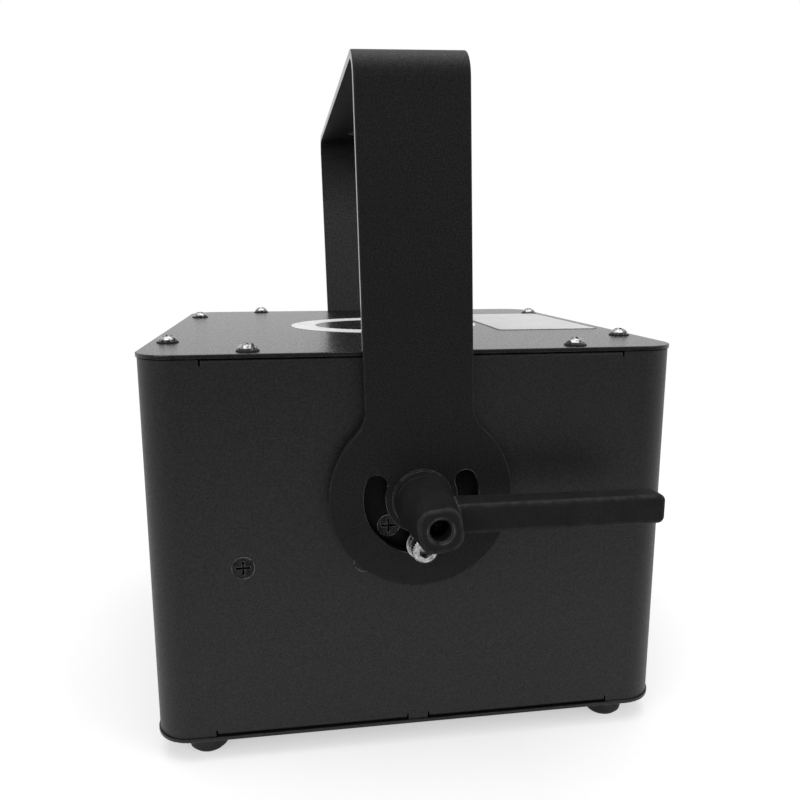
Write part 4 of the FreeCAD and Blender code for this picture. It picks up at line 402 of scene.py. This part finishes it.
def makeDisplayTint():
    material, tree, shader = newMaterial("displayTint")
    low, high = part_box("display_window")
    side, edge = (part * mm for part in displayTint["marginMm"])
    glass = inBox(tree, (low.x + side, low.y, low.z + edge), (high.x - side, high.y, high.z - edge))
    cells = addNode(tree, "TexChecker", {"Scale": 1 / (displayTint["cellMm"] * mm)})
    plug(tree, spots(tree), cells.inputs["Vector"])
    cloud = ramp(tree, noise(tree, displayTint["cloudMm"], detail=2.0), *spread, *displayTint["cloudTones"])
    tone = sums(tree, "MULTIPLY", cloud, byMask(tree, cells.outputs["Fac"], *displayTint["cellTones"]))
    lit = blendColour(tree, tone, displayTint["dark"], displayTint["pale"])
    plug(tree, blendColour(tree, glass, displayTint["border"], lit), shader.inputs["Base Color"])
    smears = noise(tree, displayTint["smearMm"], detail=4.0)
    smear = ramp(tree, smears, *displayTint["smearBand"], *displayTint["rough"])
    plug(tree, smear, shader.inputs["Roughness"])
    shader.inputs["Coat Weight"].default_value = displayTint["coat"]
    shader.inputs["Coat Roughness"].default_value = displayTint["coatRough"]
    return material


boardFinish = {"mask": (0.008, 0.05, 0.022), "trace": (0.018, 0.095, 0.04), "part": (0.012, 0.012, 0.012),
               "tin": (0.5, 0.5, 0.48), "rough": (0.25, 0.5), "traceMm": 2.6, "traceDepth": 0.03,
               "rowTraces": 8, "rowGap": 0.02, "dotMm": 2.0, "sheenMm": 3.0, "boardMm": 1.6, "riseMm": 0.2,
               "traceBand": (0.46, 0.5), "dotBand": (0.58, 0.6)}


def makeBoard(name, face, letter, upward):
    spec = boardFinish
    material, tree, shader = newMaterial(name)
    rowScale = 1 / (spec["traceMm"] * spec["rowTraces"] * mm)
    brick = addNode(tree, "TexBrick", {"Scale": rowScale, "Mortar Size": spec["rowGap"],
                                       "Color1": (*spec["mask"], 1), "Color2": (*spec["mask"], 1),
                                       "Mortar": (*spec["trace"], 1)})
    plug(tree, spots(tree), brick.inputs["Vector"])
    veins = ramp(tree, noise(tree, spec["traceMm"], detail=1.0), *spec["traceBand"])
    copper = blendColour(tree, veins, brick.outputs["Color"], spec["trace"])
    height = axisOf(tree, letter)
    rise = spec["riseMm"] * mm
    raised = ramp(tree, height, face, face + rise if upward else face - rise)
    dots = ramp(tree, noise(tree, spec["dotMm"], detail=1.0), *spec["dotBand"])
    parts = blendColour(tree, dots, spec["part"], spec["tin"])
    plug(tree, blendColour(tree, raised, copper, parts), shader.inputs["Base Color"])
    rough = ramp(tree, noise(tree, spec["sheenMm"]), *spread, *spec["rough"])
    plug(tree, rough, shader.inputs["Roughness"])
    plug(tree, bump(tree, veins, spec["traceDepth"], strength=0.6), shader.inputs["Normal"])
    return material


mirrorCoat = {"combiner": ((0.5, 0.62, 0.78), (0.8, 0.72, 0.86)),
              "scan": ((0.72, 0.74, 0.76), (0.88, 0.88, 0.86)),
              "rough": (0.01, 0.05), "cloudMm": 5.0, "smearMm": 2.0, "smearBand": (0.4, 0.8)}


def makeMirror(kind):
    material, tree, shader = newMaterial(kind + "Coat")
    tone = ramp(tree, noise(tree, mirrorCoat["cloudMm"], detail=2.0), *midSpread)
    plug(tree, blendColour(tree, tone, *mirrorCoat[kind]), shader.inputs["Base Color"])
    smears = noise(tree, mirrorCoat["smearMm"])
    smear = ramp(tree, smears, *mirrorCoat["smearBand"], *mirrorCoat["rough"])
    plug(tree, smear, shader.inputs["Roughness"])
    shader.inputs["Metallic"].default_value = 1.0
    return material


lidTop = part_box("top_lid")[1].z
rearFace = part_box("rear_panel")[1].y
flangeMm = 0.5  # dark foot of a lid screw, above the lid
# middle in X and Z, half width and half height, then start and end along Y off the panel's face, in mm
rearFittings = {"inletBlades": (50.0, 48.75, 9.0, 5.0, -14.3, 0.0),
                "dmxPins": (-20.0, 48.75, 6.0, 6.0, -9.6, 1.0),
                "signalStrip": (-42.5, 78.25, 18.6, 3.4, 4.5, 5.5),
                "interlockFloor": (-2.0, 78.25, 4.75, 4.75, -6.2, -5.6)}


def lidFlange(tree):
    return between(tree, "Z", 0.0, lidTop + flangeMm * mm)


def fittingBox(tree, name):
    x, z, wide, tall, start, end = (part * mm for part in rearFittings[name])
    return inBox(tree, (x - wide, rearFace + start, z - tall), (x + wide, rearFace + end, z + tall))


def inletBlades(tree):
    return fittingBox(tree, "inletBlades")


def dmxPins(tree):
    return fittingBox(tree, "dmxPins")


def signalInsert(tree):
    return sums(tree, "MAXIMUM", fittingBox(tree, "signalStrip"), fittingBox(tree, "interlockFloor"))


covers = {"lidScrewNickel": lidFlange, "nickelFitting": signalInsert}
coats = {"plain": makePowderCoat("powderCoat", powderCoat), "shell": makePowderCoat("shellCoat", shellCoat),
         "yoke": makePowderCoat("yokeCoat", yokeCoat), "lid": makePowderCoat("lidCoat", lidCoat)}
metals = {name: makeMetal(name, spec, covers.get(name)) for name, spec in metalFinishes.items()}
plastics = {name: makeMoulding(name, spec) for name, spec in mouldings.items()}
plastics["inletMoulding"] = makeMoulding("inletMoulding", mouldings["socketMoulding"], inletBlades)
plastics["dmxMoulding"] = makeMoulding("dmxMoulding", mouldings["socketMoulding"], dmxPins)
print("finishes made:", len(bpy.data.materials))

# finishes on the carried-over pieces

dress(coats["plain"], "base_plate", "window_bezel", "rear_panel")
dress(coats["lid"], "top_lid")
dress(coats["shell"], "housing_shell")
dress(coats["yoke"], "yoke_bracket")
dress(metals["lidScrewNickel"], "lid_screws")
dress(metals["darkNickel"], "bezel_screws", "pan_screws")
dress(metals["blackOxide"], "sunk_screws", "pivot_plates")
dress(metals["boreScrewBlackAndShade"], "right_lever_screw", "left_lever_screw")
dress(metals["brightZinc"], "slot_washers", "slot_screws", "right_lever_stud", "left_lever_stud")
dress(metals["springSteel"], "fan_guard")
dress(metals["nickelFitting"], "key_switch", "key_barrel", "signal_sockets", "board_standoffs")
dress(metals["turnedAluminium"], "heat_sink", "mirror_mounts")
dress(metals["blackAnodised"], "optics_deck", "red_laser", "green_laser", "blue_laser", "scanner_block")
dress(metals["caseSteel"], "power_supply", "x_galvo_motor", "y_galvo_motor")
dress(plastics["satinLever"], "right_lever", "left_lever")
dress(plastics["blackWasher"], "lever_washers")
dress(plastics["socketMoulding"], "rocker_frame")
dress(plastics["inletMoulding"], "power_inlet")
dress(plastics["dmxMoulding"], "dmx_sockets")
dress(plastics["glossRocker"], "power_rocker")
dress(plastics["fanNylon"], "fan_frame", "fan_rotor")
dress(plastics["spacerNylon"], "pivot_spacers")
dress(plastics["keyCapPlastic"], "menu_button_1", "menu_button_2", "menu_button_3", "menu_button_4")
dress(plastics["footRubber"], "rubber_feet")
dress(plastics["sealFoam"], "window_gasket")
dress(makeGlass("windowGlass", windowGlass), "window_glass", "laser_lenses")
dress(makeDisplayTint(), "display_window")
dress(makeMirror("combiner"), "combiner_mirrors")
dress(makeMirror("scan"), "x_galvo_mirror", "y_galvo_mirror")
# the axis across each board, and whether its parts stand on the high side
boards = {"laser_driver_board": ("Z", True), "galvo_driver_board": ("Z", True),
          "main_board": ("Y", False), "display_board": ("Y", True)}
for boardName, (letter, upward) in boards.items():
    low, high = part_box(boardName)
    axis = "XYZ".index(letter)
    face = low[axis] + boardFinish["boardMm"] * mm if upward else high[axis] - boardFinish["boardMm"] * mm
    dress(makeBoard(boardName + "Finish", face, letter, upward), boardName)
print("carried-over pieces dressed")

# printed and laid-on pieces

bevelShare = 0.3
printFinish = {"cloudMm": 22.0, "fleckMm": 0.5, "sheenMm": 2.5, "grainMm": 0.8, "grainDepth": 0.01,
               "rough": (0.42, 0.56), "specular": 0.3, "fleckBand": (0.35, 0.7), "fleckTones": (0.6, 1.0)}
lidPlate = {"frontY": 49.0, "backY": 95.0, "leftX": -57.0, "rightX": 32.5, "thick": 0.25, "corner": 2.5,
            "rim": 0.7, "rimThick": 0.12, "colour": (0.50, 0.50, 0.50), "pale": (0.56, 0.56, 0.555),
            "rimColour": (0.02, 0.02, 0.02), "rimPale": (0.035, 0.035, 0.035)}
lidRing = {"centre": (-3.5, 0.5), "outer": (39.5, 45.0), "inner": (27.5, 33.5), "thick": 0.12,
           "colour": (0.74, 0.74, 0.74), "pale": (0.84, 0.84, 0.835)}


def roundedRing(left, right, low, high, radius, steps=6):
    corners = ((right - radius, high - radius, 0), (left + radius, high - radius, 90),
               (left + radius, low + radius, 180), (right - radius, low + radius, 270))
    ring = []
    for x, y, start in corners:
        for step in range(steps + 1):
            angle = math.radians(start + 90 * step / steps)
            ring.append((x + radius * math.cos(angle), y + radius * math.sin(angle)))
    return ring


def ovalRing(centre, reach, steps=72):
    turns = [2 * math.pi * step / steps for step in range(steps)]
    return [(centre[0] + reach[0] * math.cos(turn), centre[1] + reach[1] * math.sin(turn)) for turn in turns]


def layPiece(name, form, finish, body):
    bmesh.ops.recalc_face_normals(form, faces=form.faces)
    mesh = bpy.data.meshes.new(name)
    form.to_mesh(mesh)
    form.free()
    mesh.materials.append(finish)
    piece = bpy.data.objects.new(name, mesh)
    scene.collection.objects.link(piece)
    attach(piece, body)
    return piece


def flatForm(ring, base, across, along, out, thick, inner=None):
    form = bmesh.new()
    rings = [[form.verts.new(base + across * (u * mm) + along * (v * mm)) for u, v in points]
             for points in ((ring, inner) if inner else (ring,))]
    if inner:
        outer, hole = rings
        faces = [form.faces.new((outer[i - 1], outer[i], hole[i], hole[i - 1])) for i in range(len(ring))]
    else:
        faces = [form.faces.new(rings[0])]
    raised = bmesh.ops.extrude_face_region(form, geom=faces)["geom"]
    tops = [item for item in raised if isinstance(item, bmesh.types.BMVert)]
    bmesh.ops.translate(form, verts=tops, vec=out * (thick * mm))
    upper = set(tops)
    rim = [edge for edge in form.edges if set(edge.verts) <= upper and
           any(not set(face.verts) <= upper for face in edge.link_faces)]
    bmesh.ops.bevel(form, geom=rim, offset=thick * bevelShare * mm, segments=2, affect="EDGES")
    return form


def makePrint(name, spec, dark="colour", pale="pale"):
    material, tree, shader = newMaterial(name)
    tone = ramp(tree, noise(tree, printFinish["cloudMm"]), *spread)
    flecks = noise(tree, printFinish["fleckMm"], detail=2.0)
    fleck = ramp(tree, flecks, *printFinish["fleckBand"], *printFinish["fleckTones"])
    base = blendColour(tree, sums(tree, "MULTIPLY", tone, fleck), spec[dark], spec[pale])
    plug(tree, base, shader.inputs["Base Color"])
    rough = ramp(tree, noise(tree, printFinish["sheenMm"]), *spread, *printFinish["rough"])
    plug(tree, rough, shader.inputs["Roughness"])
    grains = noise(tree, printFinish["grainMm"], detail=2.0)
    grain = bump(tree, grains, printFinish["grainDepth"], strength=0.5)
    plug(tree, grain, shader.inputs["Normal"])
    shader.inputs["Specular IOR Level"].default_value = printFinish["specular"]
    return material


acrossX, alongY, upZ = Vector((1, 0, 0)), Vector((0, 1, 0)), Vector((0, 0, 1))
onLid = Vector((0, 0, lidTop))


def layOnLid(name, ring, thick, finish, inner=None):
    layPiece(name, flatForm(ring, onLid, acrossX, alongY, upZ, thick, inner), finish, "housing")


def makeLidMarks():
    plateSides = [lidPlate[key] for key in ("leftX", "rightX", "frontY", "backY")]
    rim = lidPlate["rim"]
    rimSides = [side + shift for side, shift in zip(plateSides, (-rim, rim, -rim, rim))]
    layOnLid("bare_lid_plate_rim", roundedRing(*rimSides, lidPlate["corner"] + rim), lidPlate["rimThick"],
             makePrint("plateRim", lidPlate, "rimColour", "rimPale"))
    layOnLid("bare_lid_plate", roundedRing(*plateSides, lidPlate["corner"]), lidPlate["thick"],
             makePrint("plateVinyl", lidPlate))
    layOnLid("bare_lid_ring", ovalRing(lidRing["centre"], lidRing["outer"]), lidRing["thick"],
             makePrint("ringInk", lidRing), ovalRing(lidRing["centre"], lidRing["inner"]))


panelPrint = {"line": 0.45, "thick": 0.05, "corner": 3.0,
              "colour": (0.36, 0.36, 0.36), "pale": (0.46, 0.46, 0.455),
              "frames": {"menu": (-80.0, 6.5, 95.0, 137.0), "signal": (-72.5, 8.5, 68.6, 88.4),
                         "data": (-70.0, -4.6, 31.0, 66.6), "power": (-2.8, 77.5, 31.0, 66.6)}}
onPanel = Vector((0, rearFace, 0))


def inset(sides, depth):
    left, right, low, high = sides
    return left + depth, right - depth, low + depth, high - depth


def makePanelMarks():
    ink = makePrint("panelInk", panelPrint)
    corner, line = panelPrint["corner"], panelPrint["line"]
    for name, sides in panelPrint["frames"].items():
        ring, inner = roundedRing(*sides, corner), roundedRing(*inset(sides, line), corner - line)
        form = flatForm(ring, onPanel, acrossX, upZ, alongY, panelPrint["thick"], inner)
        layPiece("printed_frame_" + name, form, ink, "housing")
    return ink


capMarks = {"reach": 1.7, "holeShare": 0.6, "thick": 0.05, "turns": (180, 90, 270)}
rockerMarks = {"bar": (0.45, 1.9), "barCorner": 0.6, "ring": (1.9, 1.25), "thick": 0.06,
               "outward": 0.9, "areaMm2": 4.0}


def roundMark(radius, steps=36):
    return ovalRing((0, 0), (radius, radius), steps)


def makeCapMarks(ink):
    reach, thick = capMarks["reach"], capMarks["thick"]
    for number in range(1, 5):
        low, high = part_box(f"menu_button_{number}")
        top = Vector(((low.x + high.x) / 2, high.y, (low.z + high.z) / 2))
        if number <= len(capMarks["turns"]):
            corners = [math.radians(capMarks["turns"][number - 1] + 120 * step) for step in range(3)]
            ring, inner = [(-reach * math.cos(turn), reach * math.sin(turn)) for turn in corners], None
        else:
            ring, inner = roundMark(reach), roundMark(reach * capMarks["holeShare"])
        form = flatForm(ring, top, acrossX, upZ, alongY, thick, inner)
        layPiece(f"cap_mark_{number}", form, ink, f"button_{number}")


def makeRockerMarks(ink):
    mesh = nodes["power_rocker"].data
    middle = sum(point.co.z for point in mesh.vertices) / len(mesh.vertices)
    least = rockerMarks["areaMm2"] * mm * mm
    outward = [face for face in mesh.polygons
               if face.normal.y > rockerMarks["outward"] and face.area > least]
    for name, upper in (("bar", True), ("ring", False)):
        half = [face for face in outward if (face.center.z > middle) == upper]
        area = sum(face.area for face in half)
        centre = sum((face.center * face.area for face in half), Vector()) / area
        out = sum((face.normal * face.area for face in half), Vector()).normalized()
        along = out.cross(acrossX).normalized()
        if name == "bar":
            wide, tall = rockerMarks["bar"]
            ring, inner = roundedRing(-wide, wide, -tall, tall, wide * rockerMarks["barCorner"]), None
        else:
            outer, hole = rockerMarks["ring"]
            ring, inner = roundMark(outer), roundMark(hole)
        form = flatForm(ring, centre, acrossX, along, out, rockerMarks["thick"], inner)
        layPiece(f"rocker_mark_{name}", form, ink, "rocker")


leverSpring = {"wireMm": 0.4, "turns": 5, "stepsPerTurn": 24, "sides": 8, "pullMm": 3.5, "spareMm": 0.1}


def springForm(low, high):
    form = bmesh.new()
    wire = leverSpring["wireMm"] * mm
    coil = (high.y - low.y) / 2 - wire
    axis = (low + high) / 2
    steps = leverSpring["turns"] * leverSpring["stepsPerTurn"]
    first, last = low.x + wire, high.x - wire
    rings = []
    for step in range(steps + 1):
        angle = 2 * math.pi * step / leverSpring["stepsPerTurn"]
        outward = Vector((0, math.cos(angle), math.sin(angle)))
        centre = Vector((first + (last - first) * step / steps, axis.y, axis.z)) + outward * coil
        onward = Vector(((last - first) / steps, 0, 0))
        sweep = Vector((0, -math.sin(angle), math.cos(angle)))
        onward += sweep * (coil * 2 * math.pi / leverSpring["stepsPerTurn"])
        across = onward.normalized().cross(outward)
        turns = [2 * math.pi * side / leverSpring["sides"] for side in range(leverSpring["sides"])]
        rings.append([form.verts.new(centre + (outward * math.cos(turn) + across * math.sin(turn)) * wire)
                      for turn in turns])
    for near, far in zip(rings, rings[1:]):
        for side in range(leverSpring["sides"]):
            form.faces.new((near[side - 1], near[side], far[side], far[side - 1])).smooth = True
    form.faces.new(rings[0])
    form.faces.new(rings[-1])
    return form


def makeLeverSprings():
    for side, outer in (("right", 1), ("left", 0)):
        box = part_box(f"{side}_lever_spring")
        form = springForm(*box)
        spring = layPiece(f"{side}_coil_spring", form, metals["springSteel"], f"{side}_stud")
        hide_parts(f"{side}_lever_spring")
        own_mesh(spring)


makeLeverSprings()
print("lever springs wound")
makeLidMarks()
panelInk = makePanelMarks()
makeCapMarks(panelInk)
makeRockerMarks(panelInk)
print("bare lid plate, lid ring and printed marks laid")

# floor, light, camera

floorSpec = {"size": 8.0, "colour": (0.52, 0.52, 0.52), "lift": 0.50, "nearM": 0.30, "farM": 0.85,
             "dimFrom": 0.18, "dimTo": 0.78, "dimSide": 0.2, "cloudMm": 90.0, "paler": 1.03}


def makeFloor():
    mesh = bpy.data.meshes.new("floor")
    half = floorSpec["size"] / 2
    corners = [(-half, -half, 0), (half, -half, 0), (half, half, 0), (-half, half, 0)]
    mesh.from_pydata(corners, [], [(0, 1, 2, 3)])
    floor = bpy.data.objects.new("floor", mesh)
    scene.collection.objects.link(floor)
    material = bpy.data.materials.new("paleFloor")
    material.use_nodes = True
    tree = material.node_tree
    tree.nodes.clear()
    shade = addNode(tree, "BsdfDiffuse")
    tone = ramp(tree, noise(tree, floorSpec["cloudMm"], detail=2.0), *spread)
    pale = tuple(min(1.0, part * floorSpec["paler"]) for part in floorSpec["colour"])
    plug(tree, blendColour(tree, tone, floorSpec["colour"], pale), shade.inputs["Color"])
    path = addNode(tree, "LightPath")
    seen = sums(tree, "MAXIMUM", path.outputs["Is Camera Ray"], path.outputs["Is Glossy Ray"])
    seen = sums(tree, "MAXIMUM", seen, path.outputs["Is Transmission Ray"])
    away = addNode(tree, "VectorMath", operation="LENGTH")
    plug(tree, spots(tree), away.inputs[0])
    # the sweep fades into the backdrop
    far = ramp(tree, away.outputs["Value"], floorSpec["nearM"], floorSpec["farM"])
    dim = ramp(tree, axisOf(tree, "X"), floorSpec["dimFrom"], floorSpec["dimTo"], 1.0, floorSpec["dimSide"])
    level = sums(tree, "MAXIMUM", dim, path.outputs["Is Camera Ray"])  # reflections are dimmer on the +X side
    glow = addNode(tree, "Emission")
    lifted = sums(tree, "MULTIPLY", seen, floorSpec["lift"])
    plug(tree, sums(tree, "MULTIPLY", lifted, level), glow.inputs["Strength"])
    near = addNode(tree, "AddShader")
    plug(tree, shade.outputs[0], near.inputs[0])
    plug(tree, glow.outputs[0], near.inputs[1])
    backdrop = addNode(tree, "Emission", {"Color": (1, 1, 1, 1)})
    plug(tree, level, backdrop.inputs["Strength"])
    total = addNode(tree, "MixShader")
    plug(tree, sums(tree, "MULTIPLY", seen, far), total.inputs[0])
    plug(tree, near.outputs[0], total.inputs[1])
    plug(tree, backdrop.outputs[0], total.inputs[2])
    under = addNode(tree, "MixShader")  # open from below, so the underside can be looked at
    plug(tree, addNode(tree, "NewGeometry").outputs["Backfacing"], under.inputs[0])
    plug(tree, total.outputs[0], under.inputs[1])
    plug(tree, addNode(tree, "BsdfTransparent").outputs[0], under.inputs[2])
    plug(tree, under.outputs[0], addNode(tree, "OutputMaterial").inputs["Surface"])
    mesh.materials.append(material)


worldSpec = {"ambient": 0.55, "dimFrom": 0.25, "dimTo": 0.95, "dimSide": 0.35}


def makeWorld():
    world = bpy.data.worlds.new("studio")
    scene.world = world
    world.use_nodes = True
    tree = world.node_tree
    tree.nodes.clear()
    path = addNode(tree, "LightPath")
    seen = sums(tree, "MAXIMUM", path.outputs["Is Camera Ray"], path.outputs["Is Glossy Ray"])
    seen = sums(tree, "MAXIMUM", seen, path.outputs["Is Transmission Ray"])
    parts = addNode(tree, "SeparateXYZ")
    plug(tree, addNode(tree, "TexCoord").outputs["Generated"], parts.inputs["Vector"])
    # the room is dimmer on the +X side
    dim = ramp(tree, parts.outputs["X"], worldSpec["dimFrom"], worldSpec["dimTo"], 1.0, worldSpec["dimSide"])
    level = sums(tree, "MAXIMUM", dim, path.outputs["Is Camera Ray"])
    soft = addNode(tree, "Background", {"Color": (1, 1, 1, 1), "Strength": worldSpec["ambient"]})
    white = addNode(tree, "Background", {"Color": (1, 1, 1, 1)})
    plug(tree, level, white.inputs["Strength"])
    pick = addNode(tree, "MixShader")
    plug(tree, seen, pick.inputs[0])
    plug(tree, soft.outputs[0], pick.inputs[1])
    plug(tree, white.outputs[0], pick.inputs[2])
    plug(tree, pick.outputs[0], addNode(tree, "OutputWorld").inputs["Surface"])


lampAim = Vector((0, 0, 0.1))
lamps = {
    "overhead": {"place": (0.1, 0.0, 1.5), "size": 1.4, "watts": 14.0},
    "frontSide": {"place": (1.1, -0.9, 0.8), "size": 0.9, "watts": 7.0},
    "rearSide": {"place": (0.9, 1.1, 0.7), "size": 0.8, "watts": 5.0},
}


def makeLamps():
    for name, spec in lamps.items():
        light = bpy.data.lights.new(name, "AREA")
        light.size = spec["size"]
        light.energy = spec["watts"]
        lamp = bpy.data.objects.new(name, light)
        lamp.location = spec["place"]
        lamp.rotation_euler = (lampAim - lamp.location).to_track_quat("-Z", "Y").to_euler()
        scene.collection.objects.link(lamp)


cameraSpec = {"place": (0.3668, -0.0481, 0.1898), "turn": 8.692, "dip": 10.846, "lens": 34.226,
              "sensor": 36.0, "nearM": 0.01}


def makeCamera():
    turn, dip = math.radians(cameraSpec["turn"]), math.radians(cameraSpec["dip"])
    aim = Vector((-math.cos(turn) * math.cos(dip), math.sin(turn) * math.cos(dip), -math.sin(dip)))
    data = bpy.data.cameras.new("photoCamera")
    data.lens = cameraSpec["lens"]
    data.sensor_width = cameraSpec["sensor"]
    data.clip_start = cameraSpec["nearM"]
    camera = bpy.data.objects.new("photoCamera", data)
    camera.location = cameraSpec["place"]
    camera.rotation_euler = aim.to_track_quat("-Z", "Y").to_euler()
    scene.collection.objects.link(camera)
    scene.camera = camera


makeFloor()
makeWorld()
makeLamps()
makeCamera()
scene.view_settings.view_transform = "Standard"
print("floor, light and camera set")
